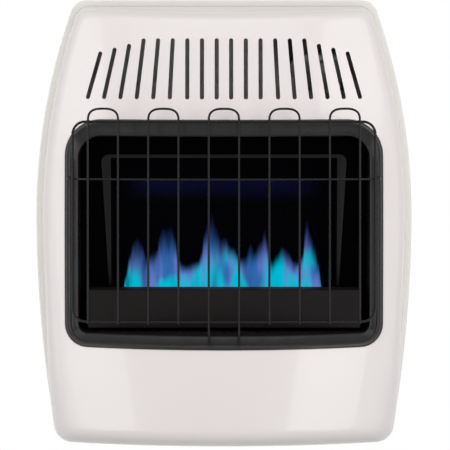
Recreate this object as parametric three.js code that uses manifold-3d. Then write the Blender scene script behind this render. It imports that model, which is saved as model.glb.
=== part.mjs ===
// Wall mounted gas heater with a barrel shaped, louvred steel cover, a dark window with a blue flame
// burner behind it, and a wire guard hooked over the window.
//
// Millimetres. X runs to the viewer's right and +Z up. The wall is the plane Y = 0, and the heater stands
// out from it towards -Y, so a depth here is a distance from the wall. The origin is the centre of the
// wall bracket's rear face.

import * as THREE from 'three';
import { mergeVertices } from 'three/addons/utils/BufferGeometryUtils.js';
import Module from 'manifold-3d';

const wasm = await Module();
wasm.setup();

// ---------------------------------------------------------------- driving dimensions

const GAP = 0.3;                       // clearance between pieces that seat on each other

// Barrel outline seen from the front
const WIDTH = 594;                     // across the sides at the widest level
const WIDEST_Z = -235;                 // height of that level
const TOP_Z = 110;                     // top edge of the cover
const BOTTOM_Z = -580;                 // underside of the cover
const UPPER_SIDE_R = 970;              // the sides draw in on this radius above the widest level
const LOWER_SIDE_R = 2080;             // and on this one below it
const TOP_CORNER_R = 26;
const BOTTOM_CORNER_R = 30;

// Pressed front of the cover
const FRONT_DEPTH = 235;               // wall to the foremost point
const FOREMOST_Z = -400;               // height of that point
const FACE_UPPER_R = 2000;             // side view radius of the face above it
const FACE_LOWER_R = 1280;             // and below it
const FACE_PLAN_R = 630;               // plan view radius of the face
const COVER_SHEET = 1.2;
const UPPER_DRAFT = 10.5;              // degrees that the edge flange opens towards the wall
const LOWER_DRAFT = 2.5;
const UPPER_SHOULDER = [15, 18];       // width and depth of the rounded edge of the face
const LOWER_SHOULDER = [30, 34];
const SHOULDER_BLEND_Z = [-330, BOTTOM_Z + 20]; // the edge changes from one to the other between these
const UPPER_STEP = 5.5;                // the cover leaves this much of the casing's lip in view
const LOWER_STEP = 4;                  // and this much low down

// Louvre slots, counted outwards from the middle on each side
const SLOTS_PER_SIDE = 9;
const SLOT_WIDTH = 6.4;
const SLOT_PITCH = 22.25;
const SLOT_TOP_Z = 49.6;
const SLOT_BOTTOM_Z = -42.6;
const STRAIGHT_SLOTS = 3;              // slots that stand upright
const FAN_START = 1.3;                 // the others lean out at the bottom
const FAN_STEP = 2.9;
const LOW_SLOTS = 3;                   // outermost slots with a lower top
const LOW_SLOT_DROP = 8.3;
const LOW_SLOT_STEP = 5.8;

// Rear casing
const CASING_REAR = 4;
const CASING_DEPTH = 66;
const CASING_SHEET = 1.2;
const CASING_BOTTOM_Z = BOTTOM_Z + 18;
const CASING_LIP = 13;                 // lip that the cover's rim sits on
const CASING_CORNER_R = 18;

// Wall bracket and bumpers
const BRACKET_WIDTH = 350;
const BRACKET_HEIGHT = 44;
const BRACKET_SHEET = 1.5;
const HOOK_X = 100;
const HOOK_WIDTH = 24;
const HOOK_Z = 4;
const HOOK_RISE = 15;
const WALL_HOLE_R = 2.7;
const WALL_HOLE_X = 150;
const BUMPER_R = 12;
const BUMPER_X = 200;
const BUMPER_Z = BOTTOM_Z + 60;

// Window surround
const BEZEL_HALF_WIDTH = 243.7;
const BEZEL_TOP_Z = -73;
const BEZEL_BOTTOM_Z = -420;
const BEZEL_TOP_R = 56;
const BEZEL_BOTTOM_R = 34;
const BEZEL_FIT = 0.5;                 // gap between the surround and the cover's opening
const BEZEL_BAND = 21;                 // width of the sloping band at the sides and the bottom
const BEZEL_TOP_BAND = 26.5;
const BEZEL_BAND_DROP = 13;            // depth that the band falls back
const BEZEL_LIP = 2.2;                 // height of the lip over the face
const BEZEL_SHEET = 1.4;

// Chassis behind the window
const PANEL_DEPTH = 130;               // rear face of the window panel
const SHEET = 1.2;
const PANEL_HALF_WIDTH = 238;
const PANEL_TOP_Z = -92;
const PANEL_BOTTOM_Z = -402;
const SUPPORT_X = 226;                 // inner face of the side supports
const SUPPORT_FLANGE = 12;
const WINDOW_HALF_WIDTH = 172;
const WINDOW_TOP_Z = -137;
const WINDOW_BOTTOM_Z = -342;
const GLASS_THICKNESS = 4;
const GLASS_OVERLAP = 6;               // glass reaches this far past the window on each side
const TRIM_HALF_WIDTH = 190;           // window trim: outer size at the top
const TRIM_FOOT_HALF_WIDTH = 179;      // and at its two feet
const TRIM_INNER_HALF_WIDTH = 175;
const TRIM_TOP_Z = -128;
const TRIM_INNER_TOP_Z = -134.3;
const TRIM_FOOT_Z = -333;
const TRIM_THICKNESS = 5;
const TRIM_CORNER_R = 12;
const SHIELD_HALF_WIDTH = 209;         // dark panel below the window
const SHIELD_DEPTH = PANEL_DEPTH + 48;
const SHIELD_TOP_Z = -335;
const SHIELD_BOTTOM_Z = -393;
const SHIELD_RETURN = 9;
const FIREBOX_HALF_WIDTH = 186;
const FIREBOX_REAR = PANEL_DEPTH - 74;
const FIREBOX_TOP_Z = -108;
const FIREBOX_BOTTOM_Z = -352;
const FIREBOX_HOOD_Z = -160;           // the rear wall leans forward above this
const FIREBOX_HOOD_DEPTH = PANEL_DEPTH - 40;
const FLUE_HALF_WIDTH = 150;           // hot gas outlet in the hood
const FLUE_DEPTHS = [PANEL_DEPTH - 32, PANEL_DEPTH - 8];
const HEAT_SHIELD_DEPTH = 30;

// Burner
const BURNER_Z = -364;
const BURNER_DEPTH = PANEL_DEPTH - 36;
const BURNER_R = 17;
const BURNER_WALL = 1.4;
const BURNER_LEFT = -162;
const BURNER_RIGHT = 146;
const PORTS = 14;
const PORT_LENGTH = 14;
const PORT_WIDTH = 2;
const PORT_PITCH = 20;
const MIXER_R = 10;
const MIXER_MOUTH_R = 14;
const MIXER_RIGHT = 170;
const INJECTOR_X = 176;
const INJECTOR_R = 4.5;
const INJECTOR_BLOCK = [18, 20, 22];

// Gas controls
const VALVE_X = 166;
const VALVE_DEPTH = 42;
const VALVE_SIZE = [56, 42, 60];
const SHELF_Z = 24;                    // underside of the shelf that carries the valve
const SHELF_LEFT = 124;
const SHELF_RIGHT = 198;
const SHELF_FRONT = VALVE_DEPTH + 30;
const BONNET_R = 17;
const BONNET_HEIGHT = 20;
const SPINDLE_R = 4;
const PUSH_ROD_R = 3;
const KNOB_TRAVEL = 6;
const WELL_LEFT = 76;
const WELL_RIGHT = 200;
const WELL_REAR = VALVE_DEPTH - 22;
const WELL_FRONT = VALVE_DEPTH + 22;
const WELL_FLOOR_Z = 74;
const WELL_OVERHANG = 1.5;             // the casing's opening is this much smaller all round
const KNOB_R = 16;
const KNOB_HEIGHT = 17;
const KNOB_LIFT = 1;                   // left under the knob when it is pushed home
const IGNITER_X = 104;
const IGNITER_R = 9;
const IGNITER_LENGTH = 62;
const BUTTON_R = 6;
const BUTTON_TRAVEL = 8;
const BUTTON_CAP = 5;

// Gas supply
const INLET_X = 208;
const INLET_DEPTH = 42;
const INLET_R = 10.5;
const INLET_BORE_R = 6.5;
const INLET_END_Z = BOTTOM_Z + 3;
const REGULATOR_R = 21;
const REGULATOR_Z = BOTTOM_Z + 80;
const SUPPLY_TUBE_R = 5;
const MAIN_TUBE_R = 4;
const PILOT_TUBE_R = 2;
const LEAD_R = 1.5;
const TUBE_BEND = 16;
const PILOT_X = 70;
const PILOT_DEPTH = PANEL_DEPTH - 10;

// Wire guard
const WIRES = 10;
const WIRE_PITCH = 45.4;
const WIRE_R = 1.7;
const FRAME_WIRE_R = 2;
const GUARD_DEPTH = FRONT_DEPTH + 15;               // at the bottom wire, in the middle
const GUARD_LEAN = 4.8;                // degrees that the guard leans back towards its top
const GUARD_PLAN_R = 2000;
const GUARD_HALF_WIDTH = 228;
const GUARD_TOP_Z = -75.6;
const GUARD_BOTTOM_Z = -375;
const GUARD_CORNER_R = 19;
const LOOP_TOP_Z = -56;
const LOOP_RISE = 18;
const LOOP_FLATNESS = 0.72;            // 1 for half an ellipse, less for a flatter top
const RAIL_Z = -162;
const RAIL_HALF_LENGTH = BEZEL_HALF_WIDTH - 8.2;
const HOOK_REACH = 40;

// ---------------------------------------------------------------- small tools

const CURVE_STEPS = 2;                 // extruded arcs get twice as many edges
const { PI, sqrt, sin, cos, tan, abs, sign, max, min } = Math;
const degrees = (angle) => angle * PI / 180;
const along = (count, make) => Array.from({ length: count }, (_, i) => make(i));
const smooth = (value, from, to) => {
  const t = min(1, max(0, (value - from) / (to - from)));
  return t * t * (3 - 2 * t);
};
const drop = (radius, offset) => radius - sqrt(radius * radius - offset * offset);
const at = (x, depth, z) => new THREE.Vector3(x, -depth, z);

// A geometry with only positions, its shared corners merged, as a solid that can be cut and joined.
function solid(geometry) {
  const bare = geometry.clone();
  bare.deleteAttribute('normal');
  bare.deleteAttribute('uv');
  const merged = mergeVertices(bare, 1e-4);
  const vertProperties = new Float32Array(merged.attributes.position.array);
  const triVerts = new Uint32Array(merged.index.array);
  return new wasm.Manifold(new wasm.Mesh({ numProp: 3, vertProperties, triVerts }));
}

const cut = (body, ...tools) => tools.reduce((rest, tool) => rest.subtract(tool), body);
const join = (body, ...others) => others.reduce((sum, other) => sum.add(other), body);

function geometryOf(body) {
  const mesh = body.getMesh();
  const geometry = new THREE.BufferGeometry();
  geometry.setAttribute('position', new THREE.BufferAttribute(new Float32Array(mesh.vertProperties), 3));
  geometry.setIndex(new THREE.BufferAttribute(new Uint32Array(mesh.triVerts), 1));
  return geometry;
}

// Extrusions: a shape drawn in the front view (x, z), the side view (depth, z) or the plan (x, depth).
function extrude(shape, length) {
  return new THREE.ExtrudeGeometry(shape, { depth: length, bevelEnabled: false, curveSegments: CURVE_STEPS });
}

function frontExtrusion(shape, rear, front) {
  const geometry = extrude(shape, front - rear);
  geometry.rotateX(PI / 2);
  geometry.translate(0, -rear, 0);
  return solid(geometry);
}

function sideExtrusion(shape, left, right) {
  const geometry = extrude(shape, right - left);
  const turn = new THREE.Matrix4().set(0, 0, -1, right, -1, 0, 0, 0, 0, 1, 0, 0, 0, 0, 0, 1);
  return solid(geometry.applyMatrix4(turn));
}

function planExtrusion(shape, low, high) {
  const geometry = extrude(shape, high - low);
  const turn = new THREE.Matrix4().set(1, 0, 0, 0, 0, -1, 0, 0, 0, 0, -1, high, 0, 0, 0, 1);
  return solid(geometry.applyMatrix4(turn));
}

function box(left, right, rear, front, low, high) {
  const geometry = new THREE.BoxGeometry(right - left, front - rear, high - low);
  geometry.translate((left + right) / 2, -(rear + front) / 2, (low + high) / 2);
  return solid(geometry);
}

// A turned piece: its profile of [radius, height] pairs spun about a vertical axis.
function turned(profile, x, depth, sides = 16) {
  const points = profile.map(([radius, height]) => new THREE.Vector2(radius, height));
  const geometry = new THREE.LatheGeometry(points, sides);
  geometry.rotateX(PI / 2);
  geometry.translate(x, -depth, 0);
  return solid(geometry);
}

const uprightRod = (x, depth, low, high, radius, sides = 16) =>
  turned([[0, low], [radius, low], [radius, high], [0, high]], x, depth, sides);

function crossRod(left, right, depth, z, radius, sides = 16) {
  const geometry = new THREE.CylinderGeometry(radius, radius, right - left, sides);
  geometry.rotateZ(PI / 2);
  geometry.translate((left + right) / 2, -depth, z);
  return solid(geometry);
}

function wallRod(x, z, rear, front, radius, sides = 16) {
  const geometry = new THREE.CylinderGeometry(radius, radius, front - rear, sides);
  geometry.translate(x, -(rear + front) / 2, z);
  return solid(geometry);
}

function polygon(points) {
  return new THREE.Shape(points.map(([u, v]) => new THREE.Vector2(u, v)));
}

// A slot with round ends between two points.
function slotShape(u0, v0, u1, v1, width) {
  const turn = Math.atan2(v1 - v0, u1 - u0);
  const shape = new THREE.Shape();
  shape.absarc(u1, v1, width / 2, turn - PI / 2, turn + PI / 2, false);
  shape.absarc(u0, v0, width / 2, turn + PI / 2, turn + PI * 1.5, false);
  return shape;
}

// A surface through rings of points. It wraps round from the last ring to the first, or has flat ends.
function skin(rings, wrapped) {
  const count = rings[0].length;
  const corners = rings.flat();
  const faces = [];
  const last = wrapped ? rings.length : rings.length - 1;
  for (let i = 0; i < last; i += 1) {
    const here = i * count;
    const next = ((i + 1) % rings.length) * count;
    for (let k = 0; k < count; k += 1) {
      const after = (k + 1) % count;
      faces.push(here + k, here + after, next + after, here + k, next + after, next + k);
    }
  }
  if (!wrapped) {
    const centre = (ring) => ring.reduce((sum, p) => sum.add(p), new THREE.Vector3()).divideScalar(count);
    corners.push(centre(rings[0]), centre(rings.at(-1)));
    const base = (rings.length - 1) * count;
    for (let k = 0; k < count; k += 1) {
      const after = (k + 1) % count;
      faces.push(after, k, corners.length - 2, base + k, base + after, corners.length - 1);
    }
  }
  const geometry = new THREE.BufferGeometry().setFromPoints(corners);
  geometry.setIndex(facingOut(corners, faces));
  return geometry;
}

function facingOut(corners, faces) {
  const cross = new THREE.Vector3();
  let volume = 0;
  for (let i = 0; i < faces.length; i += 3) {
    const [a, b, c] = [corners[faces[i]], corners[faces[i + 1]], corners[faces[i + 2]]];
    volume += a.dot(cross.crossVectors(b, c));
  }
  return volume > 0 ? faces : faces.reverse();
}

// A path with a ring at each of its own points, so that straight runs need no steps.
class RunPath extends THREE.Curve {
  constructor(points) {
    super();
    this.points = points;
  }

  getPointAt(u) {
    return this.points[Math.round(u * (this.points.length - 1))].clone();
  }

  getTangentAt(u) {
    const i = Math.round(u * (this.points.length - 1));
    const before = this.points[max(0, i - 1)];
    const after = this.points[min(this.points.length - 1, i + 1)];
    const into = this.points[i].clone().sub(before).normalize();
    const out = after.clone().sub(this.points[i]).normalize();
    return into.add(out).normalize();
  }
}

function wireAlong(points, radius, sides) {
  const section = along(sides, (i) => {
    const turn = 2 * PI * i / sides;
    return [radius * cos(turn), radius * sin(turn)];
  });
  const options = { steps: points.length - 1, extrudePath: new RunPath(points) };
  return new THREE.ExtrudeGeometry(polygon(section), options);
}

// A bent tube: straight runs between the corners, each real bend rounded in a few steps.
function bentTube(corners, radius, bend = TUBE_BEND, sides = 8) {
  const steps = 2;
  const slight = degrees(10);
  const points = [corners[0]];
  for (let i = 1; i < corners.length - 1; i += 1) {
    const [from, corner, to] = [corners[i - 1], corners[i], corners[i + 1]];
    if (corner.clone().sub(from).angleTo(to.clone().sub(corner)) < slight) {
      points.push(corner);
      continue;
    }
    const reach = min(bend, from.distanceTo(corner) * 0.45, corner.distanceTo(to) * 0.45);
    const start = corner.clone().lerp(from, reach / corner.distanceTo(from));
    const end = corner.clone().lerp(to, reach / corner.distanceTo(to));
    points.push(...new THREE.QuadraticBezierCurve3(start, corner, end).getPoints(steps));
  }
  points.push(corners.at(-1));
  return solid(wireAlong(points, radius, sides));
}

// ---------------------------------------------------------------- materials and groups

const paint = (color, roughness, metalness) => new THREE.MeshStandardMaterial({ color, roughness, metalness });
const whitePaint = paint(0xf0eeea, 0.35, 0.1);
const blackPaint = paint(0x161616, 0.45, 0.2);
const brownPaint = paint(0x26211f, 0.6, 0.2);
const galvanised = paint(0x8e9092, 0.5, 0.8);
const stainless = paint(0xb4b2ad, 0.35, 0.9);
const castMetal = paint(0xa8abad, 0.5, 0.8);
const brass = paint(0xb8954a, 0.35, 0.9);
const blackWire = paint(0x141414, 0.4, 0.4);
const darkGlass = new THREE.MeshStandardMaterial({
  color: 0x202428, roughness: 0.1, metalness: 0, transparent: true, opacity: 0.3,
});
const ceramic = paint(0xe9e6dc, 0.4, 0);
const rubber = paint(0x1c1c1c, 0.85, 0);
const blackPlastic = paint(0x1b1b1c, 0.5, 0);

const heater = new THREE.Group();
const chassis = new THREE.Group();
const cabinet = new THREE.Group();
const guard = new THREE.Group();
const gasTrain = new THREE.Group();
heater.add(chassis, cabinet, guard, gasTrain);

function piece(parent, name, body, material) {
  const geometry = body instanceof THREE.BufferGeometry ? body : geometryOf(body);
  const mesh = new THREE.Mesh(geometry, material);
  mesh.name = name;
  parent.add(mesh);
  return mesh;
}

// ---------------------------------------------------------------- barrel outline

const EDGE_STEPS = 4;
const CORNER_STEPS = 4;
const SIDE_STEPS = 8;

const sideR = (z) => (z > WIDEST_Z ? UPPER_SIDE_R : LOWER_SIDE_R);
const halfWidth = (z, inset) => WIDTH / 2 - inset - drop(sideR(z) - inset, z - WIDEST_Z);
const sideSlope = (z, inset) => Math.asin((z - WIDEST_Z) / (sideR(z) - inset));

// One rounded corner of the barrel, where its side meets the level line at the top or the bottom.
function barrelCorner(levelZ, radius, inset) {
  const up = sign(levelZ - WIDEST_Z);
  const z = levelZ - up * radius;
  const slope = abs(sideSlope(z, inset));
  return { x: halfWidth(z, inset) - radius / cos(slope), z, radius, from: up * slope, to: up * PI / 2 };
}

// Points of the right half from the bottom middle to the top middle, for an outline drawn in by an inset
// that may change from point to point.
function barrelPoint(index, inset, levels) {
  const low = barrelCorner(levels.bottom + inset, max(4, levels.bottomR - inset * 0.35), inset);
  const high = barrelCorner(levels.top - inset, max(4, levels.topR - inset * 0.35), inset);
  let step = index;
  if (step < EDGE_STEPS) return [low.x * step / EDGE_STEPS, low.z - low.radius];
  step -= EDGE_STEPS;
  if (step < CORNER_STEPS) {
    const angle = low.to + (low.from - low.to) * step / CORNER_STEPS;
    return [low.x + low.radius * cos(angle), low.z + low.radius * sin(angle)];
  }
  step -= CORNER_STEPS;
  if (step < SIDE_STEPS) {
    const lowEnd = low.z + low.radius * sin(low.from);
    const highEnd = high.z + high.radius * sin(high.from);
    const z = lowEnd + (highEnd - lowEnd) * step / SIDE_STEPS;
    return [halfWidth(z, inset), z];
  }
  step -= SIDE_STEPS;
  if (step < CORNER_STEPS) {
    const angle = high.from + (high.to - high.from) * step / CORNER_STEPS;
    return [high.x + high.radius * cos(angle), high.z + high.radius * sin(angle)];
  }
  step -= CORNER_STEPS;
  return [high.x * (1 - step / EDGE_STEPS), high.z + high.radius];
}

const HALF_COUNT = EDGE_STEPS * 2 + CORNER_STEPS * 2 + SIDE_STEPS;
const BARREL_COUNT = HALF_COUNT * 2;

// The whole outline, anticlockwise from the bottom middle.
function barrelOutline(insets, levels) {
  return along(BARREL_COUNT, (k) => {
    const left = k > HALF_COUNT;
    const [x, z] = barrelPoint(left ? BARREL_COUNT - k : k, insets(k), levels);
    return [left ? -x : x, z];
  });
}

const coverLevels = {
  top: TOP_Z, bottom: BOTTOM_Z - LOWER_STEP, topR: TOP_CORNER_R, bottomR: BOTTOM_CORNER_R,
};
const casingLevels = { top: TOP_Z, bottom: CASING_BOTTOM_Z, topR: TOP_CORNER_R, bottomR: CASING_CORNER_R };

// ---------------------------------------------------------------- front cover

const faceSideR = (z) => (z > FOREMOST_Z ? FACE_UPPER_R : FACE_LOWER_R);
const faceDepth = (x, z) => FRONT_DEPTH - drop(faceSideR(z), z - FOREMOST_Z) - drop(FACE_PLAN_R, x);

const CASING_FRONT = CASING_REAR + CASING_DEPTH;
const RIM_DEPTH = CASING_FRONT + GAP;
const SHOULDER_STEPS = 4;
const FACE_RINGS = [0.8, 0.5];

const lowness = (z) => smooth(z, SHOULDER_BLEND_Z[0], SHOULDER_BLEND_Z[1]);
const mix = (upper, lower, t) => upper + (lower - upper) * t;

// The pressed form as one closed solid: the rim, the flange that opens towards the wall, the rounded
// shoulder and the bowed face. The same form drawn in by the sheet is cut from it.
function pressedForm(sheet, rimDepth) {
  const step = (z) => mix(UPPER_STEP, LOWER_STEP, lowness(z)) + sheet;
  const rim = barrelOutline(() => 0, coverLevels);
  const low = rim.map(([, z]) => lowness(z));
  const stepAt = rim.map(([, z]) => step(z));
  const flare = rim.map(([x, z], k) => {
    const flange = faceDepth(x, z) - mix(UPPER_SHOULDER[1], LOWER_SHOULDER[1], low[k]) - RIM_DEPTH;
    return flange * tan(degrees(mix(UPPER_DRAFT, LOWER_DRAFT, low[k])));
  });
  const rings = [barrelOutline((k) => stepAt[k], coverLevels).map(([x, z]) => at(x, rimDepth, z))];
  for (let j = 0; j <= SHOULDER_STEPS; j += 1) {
    const turn = PI / 2 * j / SHOULDER_STEPS;
    const inset = (k) => {
      const width = mix(UPPER_SHOULDER[0], LOWER_SHOULDER[0], low[k]);
      return stepAt[k] - sheet * (1 - cos(turn)) + flare[k] + width * (1 - cos(turn));
    };
    rings.push(barrelOutline(inset, coverLevels).map(([x, z], k) => {
      const fall = mix(UPPER_SHOULDER[1], LOWER_SHOULDER[1], low[k]) * (1 - sin(turn));
      return at(x, faceDepth(x, z) - fall - sheet * sin(turn), z);
    }));
  }
  const edge = rings.at(-1);
  FACE_RINGS.forEach((share) => {
    rings.push(edge.map((p) => {
      const x = p.x * share;
      const z = WIDEST_Z + (p.z - WIDEST_Z) * share;
      return at(x, faceDepth(x, z) - sheet, z);
    }));
  });
  return solid(skin(rings, false));
}

// A rounded rectangle in the front view, with steps along its edges, as points and outward normals.
function frameOutline({ halfWidth: half, top, bottom, topR, bottomR, edgeSteps, sideSteps, cornerSteps }) {
  const corners = [
    { x: half - bottomR, z: bottom + bottomR, radius: bottomR, from: -90, steps: sideSteps },
    { x: half - topR, z: top - topR, radius: topR, from: 0, steps: edgeSteps },
    { x: topR - half, z: top - topR, radius: topR, from: 90, steps: sideSteps },
    { x: bottomR - half, z: bottom + bottomR, radius: bottomR, from: 180, steps: edgeSteps },
  ];
  const points = [];
  corners.forEach((corner, i) => {
    for (let j = 0; j <= cornerSteps; j += 1) {
      const angle = degrees(corner.from + 90 * j / cornerSteps);
      const [nx, nz] = [cos(angle), sin(angle)];
      points.push({ x: corner.x + corner.radius * nx, z: corner.z + corner.radius * nz, nx, nz });
    }
    const next = corners[(i + 1) % corners.length];
    const start = points.at(-1);
    const angle = degrees(next.from);
    const end = { x: next.x + next.radius * cos(angle), z: next.z + next.radius * sin(angle) };
    for (let j = 1; j < corner.steps; j += 1) {
      const t = j / corner.steps;
      const [x, z] = [mix(start.x, end.x, t), mix(start.z, end.z, t)];
      points.push({ x, z, nx: start.nx, nz: start.nz });
    }
  });
  return points;
}

const bezelOutline = {
  halfWidth: BEZEL_HALF_WIDTH, top: BEZEL_TOP_Z, bottom: BEZEL_BOTTOM_Z, topR: BEZEL_TOP_R,
  bottomR: BEZEL_BOTTOM_R, edgeSteps: 8, sideSteps: 4, cornerSteps: 5,
};

function louvreSlots() {
  const cutters = [];
  for (let i = 0; i < SLOTS_PER_SIDE; i += 1) {
    const topX = SLOT_PITCH * (i + 0.5) - 0.2;
    const fanned = i - STRAIGHT_SLOTS + 1;
    const bottomX = topX + (fanned > 0 ? FAN_START + FAN_STEP * fanned : 0);
    const lowered = i - (SLOTS_PER_SIDE - LOW_SLOTS);
    const topZ = SLOT_TOP_Z - (lowered >= 0 ? LOW_SLOT_DROP + LOW_SLOT_STEP * lowered : 0);
    const round = SLOT_WIDTH / 2;
    [1, -1].forEach((side) => {
      const shape = slotShape(side * bottomX, SLOT_BOTTOM_Z + round, side * topX, topZ - round, SLOT_WIDTH);
      cutters.push(frontExtrusion(shape, RIM_DEPTH, FRONT_DEPTH));
    });
  }
  return cutters;
}

const INTAKE_SLOTS = 7;
const INTAKE_PITCH = 48;
const INTAKE_DEPTHS = [96, 140];
const COVER_SCREW_X = WIDTH / 2 - 92;
const COVER_SCREW_DEPTH = 84;
const SCREW_R = 2;
const SCREW_HEAD_R = 4.2;
const SCREW_HEAD = 2.4;
const SCREW_FIT = 0.3;

function intakeSlots(low, high, depths) {
  return along(INTAKE_SLOTS, (i) => {
    const x = (i - (INTAKE_SLOTS - 1) / 2) * INTAKE_PITCH;
    return planExtrusion(slotShape(x, depths[0], x, depths[1], SLOT_WIDTH), low, high);
  });
}

function frontCover() {
  const opening = frameOutline(bezelOutline).map(({ x, z }) => [x, z]);
  const screws = [1, -1].map((side) =>
    uprightRod(side * COVER_SCREW_X, COVER_SCREW_DEPTH, BOTTOM_Z - 9, BOTTOM_Z + 9, SCREW_R + SCREW_FIT, 12));
  const inner = pressedForm(COVER_SHEET, RIM_DEPTH - 8);
  return cut(
    pressedForm(0, RIM_DEPTH), inner, frontExtrusion(polygon(opening), RIM_DEPTH, FRONT_DEPTH + 9),
    ...louvreSlots(), ...screws, ...intakeSlots(BOTTOM_Z - 9, BOTTOM_Z + 12, INTAKE_DEPTHS),
  );
}

piece(cabinet, 'front_cover', frontCover(), whitePaint);

// ---------------------------------------------------------------- window surround

// A closed section carried round an outline: each section point has an inset from the outline, as a
// share of the band where it says so, and a depth.
function sectionRound(outline, section) {
  const rings = section.map((place) => outline.map((p) => {
    const { inset, depth } = place(p);
    const [x, z] = [p.x - p.nx * inset, p.z - p.nz * inset];
    return at(x, depth(x, z), z);
  }));
  return skin(rings, true);
}

const bandWidth = (p) => mix(BEZEL_BAND, BEZEL_TOP_BAND, max(0, p.nz));
const PANEL_FRONT = PANEL_DEPTH + SHEET;

function bezelSection() {
  const onFace = (inset, height) => () => ({ inset, depth: (x, z) => faceDepth(x, z) + height });
  const onBand = (margin, height) => (p) => ({
    inset: bandWidth(p) + margin, depth: (x, z) => faceDepth(x, z) - BEZEL_BAND_DROP + height,
  });
  const onPanel = (margin) => (p) => ({ inset: bandWidth(p) + margin, depth: () => PANEL_FRONT + GAP });
  const t = BEZEL_SHEET;
  return [
    onFace(BEZEL_FIT, -8), onFace(BEZEL_FIT, BEZEL_LIP - 1.2), onFace(BEZEL_FIT + 1.2, BEZEL_LIP),
    onFace(5, BEZEL_LIP), onFace(7.4, 0.4), onBand(-2, 3), onBand(0, 0), onPanel(0),
    onPanel(-t), onBand(-t, -0.6), onFace(7.4 - t * 0.3, 0.4 - t * 1.2),
    onFace(BEZEL_FIT + t, BEZEL_LIP - t), onFace(BEZEL_FIT + t, -8),
  ];
}

piece(cabinet, 'window_bezel', sectionRound(frameOutline(bezelOutline), bezelSection()), blackPaint);

// ---------------------------------------------------------------- rear casing and wall fixing

const HOOK_SHEET = BRACKET_SHEET;
const HOOK_LEG = CASING_REAR + CASING_SHEET + 1.5;   // depth of the upright leg, clear of the casing
const TOP_VENT_SLOTS = 6;
const TOP_VENT_PITCH = 48;
const TOP_VENT_RIGHT = WELL_LEFT - 28;

function rearCasing() {
  const outer = barrelOutline(() => 0, casingLevels);
  const inner = barrelOutline(() => CASING_SHEET, casingLevels);
  const mouth = barrelOutline(() => CASING_LIP, casingLevels);
  const hookSlots = [1, -1].map((side) => box(
    side * HOOK_X - HOOK_WIDTH / 2 - 1, side * HOOK_X + HOOK_WIDTH / 2 + 1, 0, CASING_REAR + 9,
    HOOK_Z - HOOK_RISE - 1, HOOK_Z + HOOK_SHEET + GAP,
  ));
  const vents = along(TOP_VENT_SLOTS, (i) => {
    const x = TOP_VENT_RIGHT - i * TOP_VENT_PITCH;
    return planExtrusion(slotShape(x, 20, x, 52, SLOT_WIDTH), TOP_Z - 9, TOP_Z + 9);
  });
  const well = box(
    WELL_LEFT + WELL_OVERHANG, WELL_RIGHT - WELL_OVERHANG, WELL_REAR + WELL_OVERHANG,
    WELL_FRONT - WELL_OVERHANG, WELL_FLOOR_Z, TOP_Z + 1,
  );
  const inlet = uprightRod(INLET_X, INLET_DEPTH, CASING_BOTTOM_Z - 9, CASING_BOTTOM_Z + 9, INLET_R + 1.5);
  const floorSlots = along(INTAKE_SLOTS, (i) => {
    const x = (i - INTAKE_SLOTS / 2 - 0.5) * INTAKE_PITCH;
    return planExtrusion(slotShape(x, 20, x, 50, SLOT_WIDTH), CASING_BOTTOM_Z - 9, CASING_BOTTOM_Z + 9);
  });
  return cut(
    frontExtrusion(polygon(outer), CASING_REAR, CASING_FRONT),
    frontExtrusion(polygon(inner), CASING_REAR + CASING_SHEET, CASING_FRONT - CASING_SHEET),
    frontExtrusion(polygon(mouth), CASING_REAR + CASING_SHEET, CASING_FRONT + 9),
    ...hookSlots, ...vents, ...floorSlots, inlet, well,
  );
}

piece(cabinet, 'rear_casing', rearCasing(), whitePaint);

function wallBracket() {
  const [w, h] = [BRACKET_WIDTH / 2, BRACKET_HEIGHT / 2];
  const plate = box(-w, w, 0, BRACKET_SHEET, -h, h);
  const hooks = [1, -1].map((side) => {
    const leg = HOOK_LEG;
    const shape = polygon([
      [BRACKET_SHEET / 2, HOOK_Z], [leg + HOOK_SHEET, HOOK_Z], [leg + HOOK_SHEET, HOOK_Z + HOOK_RISE],
      [leg, HOOK_Z + HOOK_RISE], [leg, HOOK_Z + HOOK_SHEET], [BRACKET_SHEET / 2, HOOK_Z + HOOK_SHEET],
    ]);
    return sideExtrusion(shape, side * HOOK_X - HOOK_WIDTH / 2, side * HOOK_X + HOOK_WIDTH / 2);
  });
  const holes = [-1, 1].flatMap((side) =>
    [-1, 1].map((row) => wallRod(side * WALL_HOLE_X, row * h / 2, -1, BRACKET_SHEET + 1, WALL_HOLE_R, 12)));
  return cut(join(plate, ...hooks), ...holes);
}

piece(cabinet, 'wall_bracket', wallBracket(), galvanised);

['left', 'right'].forEach((name, i) => {
  const side = i ? 1 : -1;
  const bumper = wallRod(side * BUMPER_X, BUMPER_Z, 0, CASING_REAR - GAP, BUMPER_R);
  piece(cabinet, `wall_bumper_${name}`, bumper, rubber);
});

// Angle brackets under the casing, and the two screws that hold the cover's bottom edge to them
function coverBracket(side) {
  const width = 11;
  const reach = 26;
  const top = CASING_BOTTOM_Z + 14;
  const rise = reach * tan(degrees(LOWER_DRAFT));
  const foot = BOTTOM_Z + COVER_SHEET + rise + GAP;
  const rear = CASING_FRONT + GAP;
  const shape = polygon([
    [rear, top], [rear, foot], [rear + reach, foot], [rear + reach, foot + SHEET],
    [rear + SHEET, foot + SHEET], [rear + SHEET, top],
  ]);
  const x = side * COVER_SCREW_X;
  const bore = uprightRod(x, COVER_SCREW_DEPTH, foot - 2, foot + 9, SCREW_R + SCREW_FIT, 12);
  return cut(sideExtrusion(shape, x - width, x + width), bore);
}

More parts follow.
